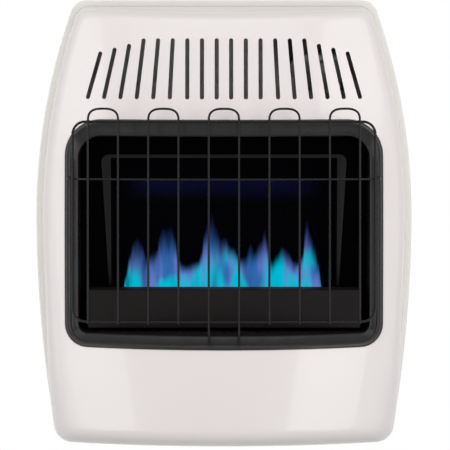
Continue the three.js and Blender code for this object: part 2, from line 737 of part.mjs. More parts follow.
function coverScrew(side) {
  const head = BOTTOM_Z - GAP;
  const shank = BOTTOM_Z + 9;
  const profile = [
    [0, head - SCREW_HEAD], [SCREW_HEAD_R * 0.8, head - SCREW_HEAD], [SCREW_HEAD_R, head - SCREW_HEAD * 0.6],
    [SCREW_HEAD_R, head], [SCREW_R, head], [SCREW_R, shank], [0, shank + 1.5],
  ];
  return turned(profile, side * COVER_SCREW_X, COVER_SCREW_DEPTH, 12);
}

['left', 'right'].forEach((name, i) => {
  const side = i ? 1 : -1;
  piece(cabinet, `cover_bracket_${name}`, coverBracket(side), galvanised);
  piece(cabinet, `cover_screw_${name}`, coverScrew(side), stainless);
});

// ---------------------------------------------------------------- chassis and window

const CHASSIS_REAR = CASING_REAR + CASING_SHEET + GAP;

function sideSupport(side) {
  const inner = side * SUPPORT_X;
  const outer = inner + side * SHEET;
  const tip = outer + side * SUPPORT_FLANGE;
  const front = PANEL_DEPTH - GAP;
  const shape = polygon([
    [inner, CHASSIS_REAR], [tip, CHASSIS_REAR], [tip, CHASSIS_REAR + SHEET], [outer, CHASSIS_REAR + SHEET],
    [outer, front - SHEET], [tip, front - SHEET], [tip, front], [inner, front],
  ]);
  return planExtrusion(shape, PANEL_BOTTOM_Z, PANEL_TOP_Z);
}

piece(chassis, 'side_support_left', sideSupport(-1), galvanised);
piece(chassis, 'side_support_right', sideSupport(1), galvanised);

const FLOOR_AIR_SLOTS = 7;
const FLOOR_AIR_PITCH = 40;

function burnerFloor() {
  const half = SUPPORT_X - GAP;
  const rear = CHASSIS_REAR;
  const front = PANEL_DEPTH - GAP;
  const low = PANEL_BOTTOM_Z;
  const shape = polygon([
    [rear, low], [front, low], [front, low + 12], [front - SHEET, low + 12], [front - SHEET, low + SHEET],
    [rear + SHEET, low + SHEET], [rear + SHEET, low + 12], [rear, low + 12],
  ]);
  const slots = along(FLOOR_AIR_SLOTS, (i) => {
    const x = (i - (FLOOR_AIR_SLOTS - 1) / 2) * FLOOR_AIR_PITCH - 20;
    return planExtrusion(slotShape(x, 45, x, 70, SLOT_WIDTH), low - 2, low + 6);
  });
  const tubeHole = uprightRod(INLET_X, INLET_DEPTH, low - 5, low + 5, SUPPLY_TUBE_R + 1.5, 16);
  return cut(sideExtrusion(shape, -half, half), ...slots, tubeHole);
}

piece(chassis, 'burner_floor', burnerFloor(), galvanised);

function heatShield() {
  const half = SUPPORT_X - GAP;
  const d = HEAT_SHIELD_DEPTH;
  const [low, high] = [PANEL_BOTTOM_Z + 30, PANEL_TOP_Z - 8];
  const shape = polygon([
    [d + 6, low], [d + 6, low + SHEET], [d + SHEET, low + SHEET], [d + SHEET, high - SHEET],
    [d + 6, high + 10], [d + 6, high + 10 + SHEET], [d, high], [d, low],
  ]);
  return sideExtrusion(shape, -half, half);
}

piece(chassis, 'heat_shield', heatShield(), galvanised);

function windowPanel() {
  const w = PANEL_HALF_WIDTH;
  const plate = box(-w, w, PANEL_DEPTH, PANEL_FRONT, PANEL_BOTTOM_Z, PANEL_TOP_Z);
  const half = WINDOW_HALF_WIDTH;
  return cut(plate, box(-half, half, PANEL_DEPTH - 5, PANEL_FRONT + 5, WINDOW_BOTTOM_Z, WINDOW_TOP_Z));
}

piece(chassis, 'window_panel', windowPanel(), blackPaint);

// Trim round the top and sides of the window, its legs narrowing towards their feet
function windowTrim() {
  const shape = new THREE.Shape();
  const r = TRIM_CORNER_R;
  const shoulder = TRIM_HALF_WIDTH;
  shape.moveTo(-TRIM_FOOT_HALF_WIDTH, TRIM_FOOT_Z);
  shape.lineTo(-TRIM_INNER_HALF_WIDTH, TRIM_FOOT_Z);
  shape.lineTo(-TRIM_INNER_HALF_WIDTH, TRIM_INNER_TOP_Z);
  shape.lineTo(TRIM_INNER_HALF_WIDTH, TRIM_INNER_TOP_Z);
  shape.lineTo(TRIM_INNER_HALF_WIDTH, TRIM_FOOT_Z);
  shape.lineTo(TRIM_FOOT_HALF_WIDTH, TRIM_FOOT_Z);
  shape.lineTo(shoulder, TRIM_TOP_Z - r);
  shape.absarc(shoulder - r, TRIM_TOP_Z - r, r, 0, PI / 2, false);
  shape.absarc(r - shoulder, TRIM_TOP_Z - r, r, PI / 2, PI, false);
  const rear = PANEL_FRONT + GAP;
  return frontExtrusion(shape, rear, rear + TRIM_THICKNESS);
}

piece(chassis, 'window_trim', windowTrim(), blackPaint);

const GLASS_FRONT = PANEL_DEPTH - GAP;
const GLASS_REAR = GLASS_FRONT - GLASS_THICKNESS;
const GLASS_HALF_WIDTH = WINDOW_HALF_WIDTH + GLASS_OVERLAP;
const GLASS_TOP_Z = WINDOW_TOP_Z + GLASS_OVERLAP;
const GLASS_BOTTOM_Z = WINDOW_BOTTOM_Z - GLASS_OVERLAP;

piece(chassis, 'glass_pane', box(
  -GLASS_HALF_WIDTH, GLASS_HALF_WIDTH, GLASS_REAR, GLASS_FRONT, GLASS_BOTTOM_Z, GLASS_TOP_Z,
), darkGlass);

// Spring clips that hold the glass against the panel from behind
const CLIP_X = 120;
const CLIP_WIDTH = 14;

function glassClip(side, edge, away) {
  const rear = GLASS_REAR - GAP - SHEET;
  const base = GLASS_FRONT;
  const near = edge + away * GAP;
  const shape = polygon([
    [base, near], [base, edge + away * 9], [base - SHEET, edge + away * 9],
    [base - SHEET, near + away * SHEET], [rear, near + away * SHEET], [rear, edge - away * 5],
    [rear + SHEET, edge - away * 5], [rear + SHEET, near],
  ]);
  return sideExtrusion(shape, side * CLIP_X - CLIP_WIDTH / 2, side * CLIP_X + CLIP_WIDTH / 2);
}

[-1, 1].forEach((side, i) => {
  const name = i ? 'right' : 'left';
  piece(chassis, `glass_clip_top_${name}`, glassClip(side, GLASS_TOP_Z, 1), stainless);
  piece(chassis, `glass_clip_bottom_${name}`, glassClip(side, GLASS_BOTTOM_Z, -1), stainless);
});

// Folded firebox, open to the window and to the burner, with a hood and a flue slot at the top
function fireboxProfile(sheet) {
  const front = PANEL_DEPTH - GAP + (sheet ? 9 : 0);
  const low = FIREBOX_BOTTOM_Z - (sheet ? 9 : 0);
  return polygon([
    [front, low], [front, FIREBOX_TOP_Z - sheet], [FIREBOX_HOOD_DEPTH + sheet * 0.4, FIREBOX_TOP_Z - sheet],
    [FIREBOX_REAR + sheet, FIREBOX_HOOD_Z - sheet * 0.3], [FIREBOX_REAR + sheet, low],
  ]);
}

function firebox() {
  const half = FIREBOX_HALF_WIDTH;
  const outer = sideExtrusion(fireboxProfile(0), -half, half);
  const inner = sideExtrusion(fireboxProfile(SHEET), SHEET - half, half - SHEET);
  const flueRange = [-FLUE_HALF_WIDTH, FLUE_HALF_WIDTH, FLUE_DEPTHS[0], FLUE_DEPTHS[1]];
  const flue = box(...flueRange, FIREBOX_TOP_Z - 5, FIREBOX_TOP_Z + 5);
  return cut(outer, inner, flue);
}

piece(chassis, 'firebox', firebox(), blackPaint);

function burnerShield() {
  const [top, low, front] = [SHIELD_TOP_Z, SHIELD_BOTTOM_Z, SHIELD_DEPTH];
  const rear = PANEL_FRONT + GAP;
  const shape = polygon([
    [rear, top], [rear, top - SHEET], [front - SHEET, top - SHEET], [front - SHEET, low + SHEET],
    [front - SHIELD_RETURN, low + SHEET], [front - SHIELD_RETURN, low], [front, low], [front, top],
  ]);
  return sideExtrusion(shape, -SHIELD_HALF_WIDTH, SHIELD_HALF_WIDTH);
}

piece(chassis, 'burner_shield', burnerShield(), brownPaint);

// Deflector that turns the warm air out through the louvres
function airDeflector() {
  const rear = CHASSIS_REAR;
  const [foot, lift, front] = [-70, 64, PANEL_DEPTH + 8];
  const arc = along(7, (i) => {
    const turn = PI / 2 * i / 6;
    return [rear + SHEET + (front - rear) * (1 - cos(turn)), foot + 20 + (lift - foot - 20) * sin(turn)];
  });
  const back = arc.map(([d, z]) => [d - SHEET * 0.6, z + SHEET]).reverse();
  const shape = polygon([[rear + SHEET, foot], ...arc, ...back.slice(0, -1), [rear, foot + 20], [rear, foot]]);
  return sideExtrusion(shape, SUPPORT_FLANGE * 2 - SUPPORT_X, WELL_LEFT - SUPPORT_FLANGE);
}

piece(chassis, 'air_deflector', airDeflector(), galvanised);

// ---------------------------------------------------------------- burner and pilot

function burnerTube() {
  const shell = crossRod(BURNER_LEFT, BURNER_RIGHT, BURNER_DEPTH, BURNER_Z, BURNER_R, 16);
  const mixer = crossRod(BURNER_RIGHT - 1, MIXER_RIGHT - 7, BURNER_DEPTH, BURNER_Z, MIXER_R, 16);
  const mouth = new THREE.CylinderGeometry(MIXER_R, MIXER_MOUTH_R, 8, 16);
  mouth.rotateZ(PI / 2);
  mouth.translate(MIXER_RIGHT - 4, -BURNER_DEPTH, BURNER_Z);
  const bore = crossRod(
    BURNER_LEFT + BURNER_WALL, BURNER_RIGHT - BURNER_WALL, BURNER_DEPTH, BURNER_Z, BURNER_R - BURNER_WALL, 16);
  const throat = crossRod(
    BURNER_RIGHT - 5, MIXER_RIGHT + 5, BURNER_DEPTH, BURNER_Z, MIXER_R - BURNER_WALL, 16);
  const middle = (BURNER_LEFT + BURNER_RIGHT) / 2;
  const ports = along(PORTS, (i) => {
    const x = middle + (i - (PORTS - 1) / 2) * PORT_PITCH;
    const half = PORT_WIDTH / 2;
    const across = PORT_LENGTH / 2;
    return box(x - half, x + half, BURNER_DEPTH - across, BURNER_DEPTH + across, BURNER_Z, BURNER_Z + 30);
  });
  return cut(join(shell, mixer, solid(mouth)), bore, throat, ...ports);
}

piece(gasTrain, 'burner_tube', burnerTube(), stainless);

const FLOOR_TOP_Z = PANEL_BOTTOM_Z + SHEET;

function burnerCradle(x) {
  const width = BURNER_R + 5;
  const plate = box(
    x - 1.5, x + 1.5, BURNER_DEPTH - width, BURNER_DEPTH + width, FLOOR_TOP_Z + GAP, BURNER_Z - 2);
  return cut(plate, crossRod(x - 5, x + 5, BURNER_DEPTH, BURNER_Z, BURNER_R + GAP, 16));
}

piece(gasTrain, 'burner_cradle_left', burnerCradle(BURNER_LEFT + 14), galvanised);
piece(gasTrain, 'burner_cradle_right', burnerCradle(BURNER_RIGHT - 10), galvanised);

function injectorBlock() {
  const [w, d, h] = INJECTOR_BLOCK;
  const left = INJECTOR_X + 10;
  const block = box(
    left, left + w, BURNER_DEPTH - d / 2, BURNER_DEPTH + d / 2, FLOOR_TOP_Z + GAP, BURNER_Z + h / 2);
  const seat = crossRod(left - 1, left + 6, BURNER_DEPTH, BURNER_Z, INJECTOR_R + GAP);
  return cut(block, seat);
}

piece(gasTrain, 'injector_block', injectorBlock(), castMetal);

const injectorBody = cut(
  join(
    crossRod(INJECTOR_X + 2, INJECTOR_X + 15, BURNER_DEPTH, BURNER_Z, INJECTOR_R, 12),
    crossRod(INJECTOR_X + 3, INJECTOR_X + 8, BURNER_DEPTH, BURNER_Z, INJECTOR_R + 1.8, 6),
    crossRod(INJECTOR_X - 3, INJECTOR_X + 2.5, BURNER_DEPTH, BURNER_Z, INJECTOR_R - 1.5, 12),
  ),
  crossRod(INJECTOR_X - 5, INJECTOR_X + 1, BURNER_DEPTH, BURNER_Z, 0.9, 8),
);
piece(gasTrain, 'gas_injector', injectorBody, brass);

// Pilot: a bent plate on the burner floor that carries the pilot burner, the spark electrode and the
// thermocouple side by side
const PILOT_PLATE_Z = -368;
const PILOT_SPACING = 13;

function pilotBracket() {
  const rear = PILOT_DEPTH - 5;
  const shape = polygon([
    [rear, PILOT_PLATE_Z], [rear, FLOOR_TOP_Z + GAP], [rear - SHEET, FLOOR_TOP_Z + GAP],
    [rear - SHEET, PILOT_PLATE_Z + SHEET], [PILOT_DEPTH + 6, PILOT_PLATE_Z + SHEET],
    [PILOT_DEPTH + 6, PILOT_PLATE_Z],
  ]);
  const reach = PILOT_SPACING + 8;
  const plate = sideExtrusion(shape, PILOT_X - reach, PILOT_X + reach);
  const holes = [-1, 0, 1].map((i) => uprightRod(
    PILOT_X + i * PILOT_SPACING, PILOT_DEPTH, PILOT_PLATE_Z - 3, PILOT_PLATE_Z + 5, 3 + GAP, 10));
  return cut(plate, ...holes);
}

piece(gasTrain, 'pilot_bracket', pilotBracket(), stainless);

// Each stands in its hole on a collar
const stalk = (x, below, above, collar, tip) => {
  const seat = PILOT_PLATE_Z + SHEET + GAP;
  return turned([
    [0, PILOT_PLATE_Z - below], [2.4, PILOT_PLATE_Z - below], [2.4, seat], [collar, seat],
    [collar, seat + 4], [tip, seat + 5], [tip, seat + above], [0, seat + above],
  ], x, PILOT_DEPTH, 10);
};

const pilotHead = join(
  stalk(PILOT_X, 4, 20, 4.5, 3.2),
  box(PILOT_X - 3, PILOT_X + 3, PILOT_DEPTH - 10, PILOT_DEPTH, PILOT_PLATE_Z + 17, PILOT_PLATE_Z + 22),
);
piece(gasTrain, 'pilot_burner', pilotHead, stainless);
piece(gasTrain, 'spark_electrode', stalk(PILOT_X + PILOT_SPACING, 6, 22, 3.6, 1.3), ceramic);
piece(gasTrain, 'thermocouple', stalk(PILOT_X - PILOT_SPACING, 5, 26, 4, 2), stainless);

// ---------------------------------------------------------------- gas valve and controls

const SHELF_TOP_Z = SHELF_Z + SHEET;
const BONNET_TOP_Z = SHELF_TOP_Z + GAP + BONNET_HEIGHT;
const WELL_BASE_Z = WELL_FLOOR_Z - SHEET;
const WELL_RIM_Z = TOP_Z - CASING_SHEET - GAP;

function valveBracket() {
  const rear = CHASSIS_REAR;
  const shelf = sideExtrusion(polygon([
    [rear, SHELF_Z - 56], [rear + SHEET, SHELF_Z - 56], [rear + SHEET, SHELF_Z],
    [SHELF_FRONT - SHEET, SHELF_Z], [SHELF_FRONT - SHEET, SHELF_Z - 9], [SHELF_FRONT, SHELF_Z - 9],
    [SHELF_FRONT, SHELF_TOP_Z], [rear, SHELF_TOP_Z],
  ]), SHELF_LEFT, SHELF_RIGHT);
  const upright = (x) => box(x, x + SHEET, WELL_REAR + 4, WELL_FRONT - 4, SHELF_Z, WELL_BASE_Z - GAP);
  const stem = uprightRod(VALVE_X, VALVE_DEPTH, SHELF_Z - 5, SHELF_TOP_Z + 5, PUSH_ROD_R + 4);
  return cut(join(shelf, upright(SHELF_LEFT), upright(SHELF_RIGHT - SHEET)), stem);
}

piece(gasTrain, 'valve_bracket', valveBracket(), galvanised);

function gasValve() {
  const [w, d, h] = VALVE_SIZE;
  const top = SHELF_Z - GAP;
  const block = box(
    VALVE_X - w / 2, VALVE_X + w / 2, VALVE_DEPTH - d / 2, VALVE_DEPTH + d / 2, top - h * 0.7, top);
  const waist = turned([
    [0, top - h], [d * 0.26, top - h], [d * 0.3, top - h * 0.94], [d * 0.3, top - h * 0.6],
    [0, top - h * 0.6],
  ], VALVE_X, VALVE_DEPTH);
  const boss = wallRod(VALVE_X - w * 0.2, top - h * 0.32, VALVE_DEPTH, VALVE_DEPTH + d * 0.72, 9);
  const bore = uprightRod(VALVE_X, VALVE_DEPTH, top - 12, top + 5, PUSH_ROD_R + 0.5);
  return cut(join(block, waist, boss), bore);
}

piece(gasTrain, 'gas_valve', gasValve(), castMetal);

// The bonnet guides the spindle; the push rod under the spindle opens the safety valve
const SPINDLE_FIT = 0.4;
const ROD_TOP_Z = BONNET_TOP_Z - 4;
const SPINDLE_LOW_Z = ROD_TOP_Z + GAP;
const KNOB_BASE_Z = WELL_FLOOR_Z + KNOB_LIFT + KNOB_TRAVEL;
const KNOB_TOP_Z = KNOB_BASE_Z + KNOB_HEIGHT;

function valveBonnet() {
  const base = SHELF_TOP_Z + GAP;
  const body = turned([
    [0, base], [BONNET_R, base], [BONNET_R, base + 5], [BONNET_R * 0.68, base + 7],
    [BONNET_R * 0.6, BONNET_TOP_Z], [0, BONNET_TOP_Z],
  ], VALVE_X, VALVE_DEPTH);
  return cut(body, uprightRod(VALVE_X, VALVE_DEPTH, base - 5, BONNET_TOP_Z + 5, SPINDLE_R + SPINDLE_FIT));
}

piece(gasTrain, 'valve_bonnet', valveBonnet(), castMetal);

const rodLow = SHELF_Z - GAP - 12 + KNOB_TRAVEL + 1;
piece(gasTrain, 'valve_push_rod', uprightRod(VALVE_X, VALVE_DEPTH, rodLow, ROD_TOP_Z, PUSH_ROD_R), stainless);

// D shaped upper end, so that the knob turns the spindle
const SPINDLE_FLAT = 2.6;
const spindleTop = KNOB_TOP_Z - 6;
const spindleFlat = box(
  VALVE_X - 9, VALVE_X + 9, VALVE_DEPTH + SPINDLE_FLAT, VALVE_DEPTH + 9, KNOB_BASE_Z - 1, spindleTop + 5);
const spindle = cut(
  uprightRod(VALVE_X, VALVE_DEPTH, SPINDLE_LOW_Z, spindleTop, SPINDLE_R), spindleFlat);
piece(gasTrain, 'valve_spindle', spindle, stainless);

function controlKnob() {
  const [base, top] = [KNOB_BASE_Z, KNOB_TOP_Z];
  const skirt = turned([
    [0, base], [KNOB_R, base], [KNOB_R, base + 3], [KNOB_R - 1, base + 4.5], [KNOB_R * 0.72, base + 6],
    [KNOB_R * 0.66, top - 1.5], [KNOB_R * 0.6, top], [0, top],
  ], VALVE_X, VALVE_DEPTH, 24);
  const grip = planExtrusion(
    slotShape(VALVE_X, VALVE_DEPTH - 11, VALVE_X, VALVE_DEPTH + 11, 7), base + 4, top + 1.5);
  const round = uprightRod(VALVE_X, VALVE_DEPTH, base - 5, spindleTop + GAP, SPINDLE_R + GAP);
  const flat = box(
    VALVE_X - 9, VALVE_X + 9, VALVE_DEPTH + SPINDLE_FLAT + GAP, VALVE_DEPTH + 12, base - 9, top);
  return cut(join(skirt, grip), cut(round, flat));
}

piece(gasTrain, 'control_knob', controlKnob(), blackPlastic);

// Sunk tray in the top of the heater, round the knob and the igniter button
function controlWell() {
  const wall = SHEET;
  const tray = box(
    WELL_LEFT - wall, WELL_RIGHT + wall, WELL_REAR - wall, WELL_FRONT + wall, WELL_BASE_Z, WELL_RIM_Z);
  const hollow = box(WELL_LEFT, WELL_RIGHT, WELL_REAR, WELL_FRONT, WELL_FLOOR_Z, WELL_RIM_Z + 5);
  const knobHole = uprightRod(VALVE_X, VALVE_DEPTH, WELL_BASE_Z - 5, WELL_FLOOR_Z + 5, SPINDLE_R + 1.5);
  const buttonHole = uprightRod(IGNITER_X, VALVE_DEPTH, WELL_BASE_Z - 5, WELL_FLOOR_Z + 5, IGNITER_R - 1);
  return cut(tray, hollow, knobHole, buttonHole);
}

piece(gasTrain, 'control_well', controlWell(), blackPaint);

// Piezo igniter: its threaded neck comes up through the tray's floor and is held by a nut
const NECK_R = IGNITER_R - 1 - GAP;
const NUT_HEIGHT = 4;
const NECK_TOP_Z = WELL_FLOOR_Z + NUT_HEIGHT + 1.5;
const IGNITER_TOP_Z = WELL_BASE_Z - GAP;
const BUTTON_FIT = 0.35;

const igniterBody = cut(
  turned([
    [0, IGNITER_TOP_Z - IGNITER_LENGTH], [3, IGNITER_TOP_Z - IGNITER_LENGTH],
    [3, IGNITER_TOP_Z - IGNITER_LENGTH + 6], [IGNITER_R - 1, IGNITER_TOP_Z - IGNITER_LENGTH + 8],
    [IGNITER_R, IGNITER_TOP_Z - 18], [IGNITER_R + 2, IGNITER_TOP_Z - 3], [IGNITER_R + 2, IGNITER_TOP_Z],
    [NECK_R, IGNITER_TOP_Z], [NECK_R, NECK_TOP_Z], [0, NECK_TOP_Z],
  ], IGNITER_X, VALVE_DEPTH, 20),
  uprightRod(IGNITER_X, VALVE_DEPTH, WELL_BASE_Z - 14, NECK_TOP_Z + 5, BUTTON_R - 1 + BUTTON_FIT),
);
piece(gasTrain, 'piezo_igniter', igniterBody, blackPlastic);

const nutLow = WELL_FLOOR_Z + GAP;
const igniterNut = cut(
  uprightRod(IGNITER_X, VALVE_DEPTH, nutLow, nutLow + NUT_HEIGHT, NECK_R + 4, 6),
  uprightRod(IGNITER_X, VALVE_DEPTH, nutLow - 5, nutLow + NUT_HEIGHT + 5, NECK_R + GAP),
);
piece(gasTrain, 'igniter_nut', igniterNut, stainless);

const capLow = NECK_TOP_Z + BUTTON_TRAVEL + 0.5;
piece(gasTrain, 'igniter_button', turned([
  [0, WELL_BASE_Z - 4], [BUTTON_R - 1, WELL_BASE_Z - 4], [BUTTON_R - 1, capLow], [BUTTON_R + 0.6, capLow],
  [BUTTON_R + 0.6, capLow + BUTTON_CAP - 1], [BUTTON_R - 0.4, capLow + BUTTON_CAP], [0, capLow + BUTTON_CAP],
], IGNITER_X, VALVE_DEPTH, 20), blackPlastic);

// ---------------------------------------------------------------- regulator, tubes and leads

const VALVE_LOW_Z = SHELF_Z - GAP - VALVE_SIZE[2] * 0.7;
const TUBE_START_Z = VALVE_LOW_Z - GAP;

const inletFitting = cut(
  join(
    uprightRod(INLET_X, INLET_DEPTH, INLET_END_Z, REGULATOR_Z - 16 - GAP, INLET_R - 1.5),
    uprightRod(INLET_X, INLET_DEPTH, INLET_END_Z, INLET_END_Z + 12, INLET_R),
    uprightRod(INLET_X, INLET_DEPTH, REGULATOR_Z - 34, REGULATOR_Z - 24, INLET_R + 3, 6),
  ),
  uprightRod(INLET_X, INLET_DEPTH, INLET_END_Z - 5, INLET_END_Z + 40, INLET_BORE_R),
);
piece(gasTrain, 'inlet_fitting', inletFitting, brass);

// Regulator: a round diaphragm housing facing forward, on a block with the gas ways
function pressureRegulator() {
  const face = INLET_DEPTH + INLET_R + 4;
  const block = box(
    INLET_X - 13, INLET_X + 13, CHASSIS_REAR, face + 2, REGULATOR_Z - 16, REGULATOR_Z + 16);
  const disc = wallRod(INLET_X, REGULATOR_Z, face, face + 14, REGULATOR_R, 24);
  const cap = wallRod(INLET_X, REGULATOR_Z, face + 8, face + 26, 9, 12);
  return join(block, disc, cap);
}

piece(gasTrain, 'pressure_regulator', pressureRegulator(), castMetal);

const supplyEnd = at(VALVE_X + 18, VALVE_DEPTH, TUBE_START_Z);
piece(gasTrain, 'supply_tube', bentTube([
  at(INLET_X, INLET_DEPTH, REGULATOR_Z + 16 + GAP), at(INLET_X, INLET_DEPTH, -96),
  at(VALVE_X + 18, VALVE_DEPTH, -60), supplyEnd,
], SUPPLY_TUBE_R, 22), castMetal);

const blockMiddle = INJECTOR_X + 10 + INJECTOR_BLOCK[0] / 2;
piece(gasTrain, 'main_gas_tube', bentTube([
  at(VALVE_X - 20, VALVE_DEPTH, TUBE_START_Z), at(VALVE_X - 20, VALVE_DEPTH, -52),
  at(blockMiddle, BURNER_DEPTH - 28, -96), at(blockMiddle, BURNER_DEPTH, -130),
  at(blockMiddle, BURNER_DEPTH, BURNER_Z + INJECTOR_BLOCK[2] / 2 + GAP),
], MAIN_TUBE_R), castMetal);

// Thin tubes and leads run down between the firebox and the side support, then along the burner floor in
// front of the burner, one above another
const FLOOR_RUN_Z = FLOOR_TOP_Z + 6;
const RUN_STEP = 7;
const RUN_DEPTH = PANEL_DEPTH - 8;
const DROP_X = INLET_X + 8;
const PORT_DEPTH = VALVE_DEPTH + 19;
const PILOT_DROP = PANEL_DEPTH - 56;
const COUPLE_DROP = PANEL_DEPTH - 18;
const SPARK_DROP = PANEL_DEPTH - 34;

piece(gasTrain, 'pilot_tube', bentTube([
  at(VALVE_X + 8, PORT_DEPTH, TUBE_START_Z), at(VALVE_X + 8, PORT_DEPTH, -60), at(DROP_X, PILOT_DROP, -100),
  at(DROP_X, PILOT_DROP, FLOOR_RUN_Z + RUN_STEP), at(DROP_X, RUN_DEPTH, FLOOR_RUN_Z + RUN_STEP),
  at(PILOT_X, PILOT_DEPTH, FLOOR_RUN_Z + RUN_STEP), at(PILOT_X, PILOT_DEPTH, PILOT_PLATE_Z - 4 - GAP),
], PILOT_TUBE_R, 10, 6), castMetal);

const coupleX = PILOT_X - PILOT_SPACING;
piece(gasTrain, 'thermocouple_lead', bentTube([
  at(VALVE_X - 8, PORT_DEPTH, TUBE_START_Z), at(VALVE_X - 8, PORT_DEPTH, -48),
  at(DROP_X - 6, COUPLE_DROP, -96), at(DROP_X - 6, COUPLE_DROP, FLOOR_RUN_Z),
  at(DROP_X - 20, RUN_DEPTH, FLOOR_RUN_Z),
  at(coupleX, PILOT_DEPTH, FLOOR_RUN_Z), at(coupleX, PILOT_DEPTH, PILOT_PLATE_Z - 5 - GAP),
], LEAD_R, 9, 6), brass);

const sparkX = PILOT_X + PILOT_SPACING;
const SPARK_RUN_Z = FLOOR_RUN_Z + 2 * RUN_STEP;
piece(gasTrain, 'ignition_lead', bentTube([
  at(IGNITER_X, VALVE_DEPTH, IGNITER_TOP_Z - IGNITER_LENGTH - GAP), at(IGNITER_X, VALVE_DEPTH, -40),
  at(IGNITER_X + 46, SPARK_DROP - 12, -100), at(DROP_X, SPARK_DROP, -108),
  at(DROP_X, SPARK_DROP, SPARK_RUN_Z),
  at(DROP_X - 16, RUN_DEPTH, SPARK_RUN_Z), at(sparkX, PILOT_DEPTH, SPARK_RUN_Z),
  at(sparkX, PILOT_DEPTH, PILOT_PLATE_Z - 6 - GAP),
], LEAD_R, 9, 6), blackPlastic);

// ---------------------------------------------------------------- wire guard

const guardDepth = (x, z) =>
  GUARD_DEPTH - (z - GUARD_BOTTOM_Z) * tan(degrees(GUARD_LEAN)) - drop(GUARD_PLAN_R, x);
const HAIRPIN_OFFSET = FRAME_WIRE_R + WIRE_R + GAP;
const WIRE_SIDES = 8;

function guardFrame() {
  const outline = frameOutline({
    halfWidth: GUARD_HALF_WIDTH, top: GUARD_TOP_Z, bottom: GUARD_BOTTOM_Z, topR: GUARD_CORNER_R,
    bottomR: GUARD_CORNER_R, edgeSteps: 5, sideSteps: 1, cornerSteps: 4,
  });
  const section = along(WIRE_SIDES, (i) => {
    const turn = 2 * PI * i / WIRE_SIDES;
    return () => ({
      inset: FRAME_WIRE_R * cos(turn), depth: (x, z) => guardDepth(x, z) + FRAME_WIRE_R * sin(turn),
    });
  });
  return sectionRound(outline, section);
}

piece(guard, 'guard_frame', guardFrame(), blackWire);

// Cross rail behind the hairpins. Near its ends it steps back to pass behind the side wires of the frame,
// and its tips are bent back on to the window surround.
function guardRail() {
  const reach = RAIL_HALF_LENGTH;
  const straight = GUARD_HALF_WIDTH - 20;
  const stepped = GUARD_HALF_WIDTH - 6;
  const steps = 4;
  const flush = (x) => at(x, guardDepth(x, RAIL_Z) + FRAME_WIRE_R - WIRE_R, RAIL_Z);
  const behind = (x) => at(x, guardDepth(x, RAIL_Z) - HAIRPIN_OFFSET, RAIL_Z);
  const run = along(steps + 1, (i) => flush(-straight + 2 * straight * i / steps));
  const seat = faceDepth(reach, RAIL_Z) + BEZEL_LIP / 2;
  const corners = [
    at(-reach, seat, RAIL_Z), behind(-reach), behind(-stepped), ...run, behind(stepped), behind(reach),
    at(reach, seat, RAIL_Z),
  ];
  return bentTube(corners, WIRE_R, 4, WIRE_SIDES);
}

piece(guard, 'guard_rail', guardRail(), blackWire);

// A hairpin: two uprights joined by a flattened loop over the top of the frame. The middle one has its
// feet bent back on to the floor of the window surround.
const RECESS_FLOOR_Z = BEZEL_BOTTOM_Z + BEZEL_BAND;

function hairpin(left, footed) {
  const right = left + WIRE_PITCH;
  const middle = (left + right) / 2;
  const springZ = LOOP_TOP_Z - LOOP_RISE;
  const spot = (x, z) => at(x, guardDepth(x, z) + HAIRPIN_OFFSET, z);
  const loop = along(9, (i) => {
    const turn = PI * (1 - i / 8);
    const across = sign(cos(turn)) * abs(cos(turn)) ** LOOP_FLATNESS;
    return spot(middle + WIRE_PITCH / 2 * across, springZ + LOOP_RISE * abs(sin(turn)) ** LOOP_FLATNESS);
  });
  const footZ = footed ? RECESS_FLOOR_Z + WIRE_R + GAP : GUARD_BOTTOM_Z - 3;
  const foot = (x) => {
    if (!footed) return [spot(x, footZ)];
    const front = guardDepth(x, GUARD_BOTTOM_Z) + HAIRPIN_OFFSET;
    const bend = 6;
    const arc = along(4, (i) => {
      const turn = PI / 2 * i / 3;
      return at(x, front - bend * (1 - cos(turn)), footZ + bend * (1 - sin(turn)));
    });
    const atFrame = at(x, front, GUARD_BOTTOM_Z - FRAME_WIRE_R);
    return [at(x, front - HOOK_REACH, footZ), ...arc.reverse(), atFrame];
  };
  const leftFoot = foot(left);
  const rightFoot = foot(right).reverse();
  return wireAlong([...leftFoot, ...loop, ...rightFoot], WIRE_R, WIRE_SIDES);
}

const firstWire = -WIRE_PITCH * (WIRES - 1) / 2;
const HAIRPINS = WIRES / 2;
for (let i = 0; i < HAIRPINS; i += 1) {
  const footed = i === (HAIRPINS - 1) / 2;
  piece(guard, `guard_hairpin_${i + 1}`, hairpin(firstWire + 2 * i * WIRE_PITCH, footed), blackWire);
}

export default heater;
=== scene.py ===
# The finished look of a wall mounted gas heater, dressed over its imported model. Metres, +Z up, the wall at
# Y = 0 and the heater in front of it, so a depth here is a distance from the wall.

from math import asin, cos, pi, radians, sin, sqrt, tan

import bmesh
import bpy
from mathutils import Matrix, Quaternion, Vector


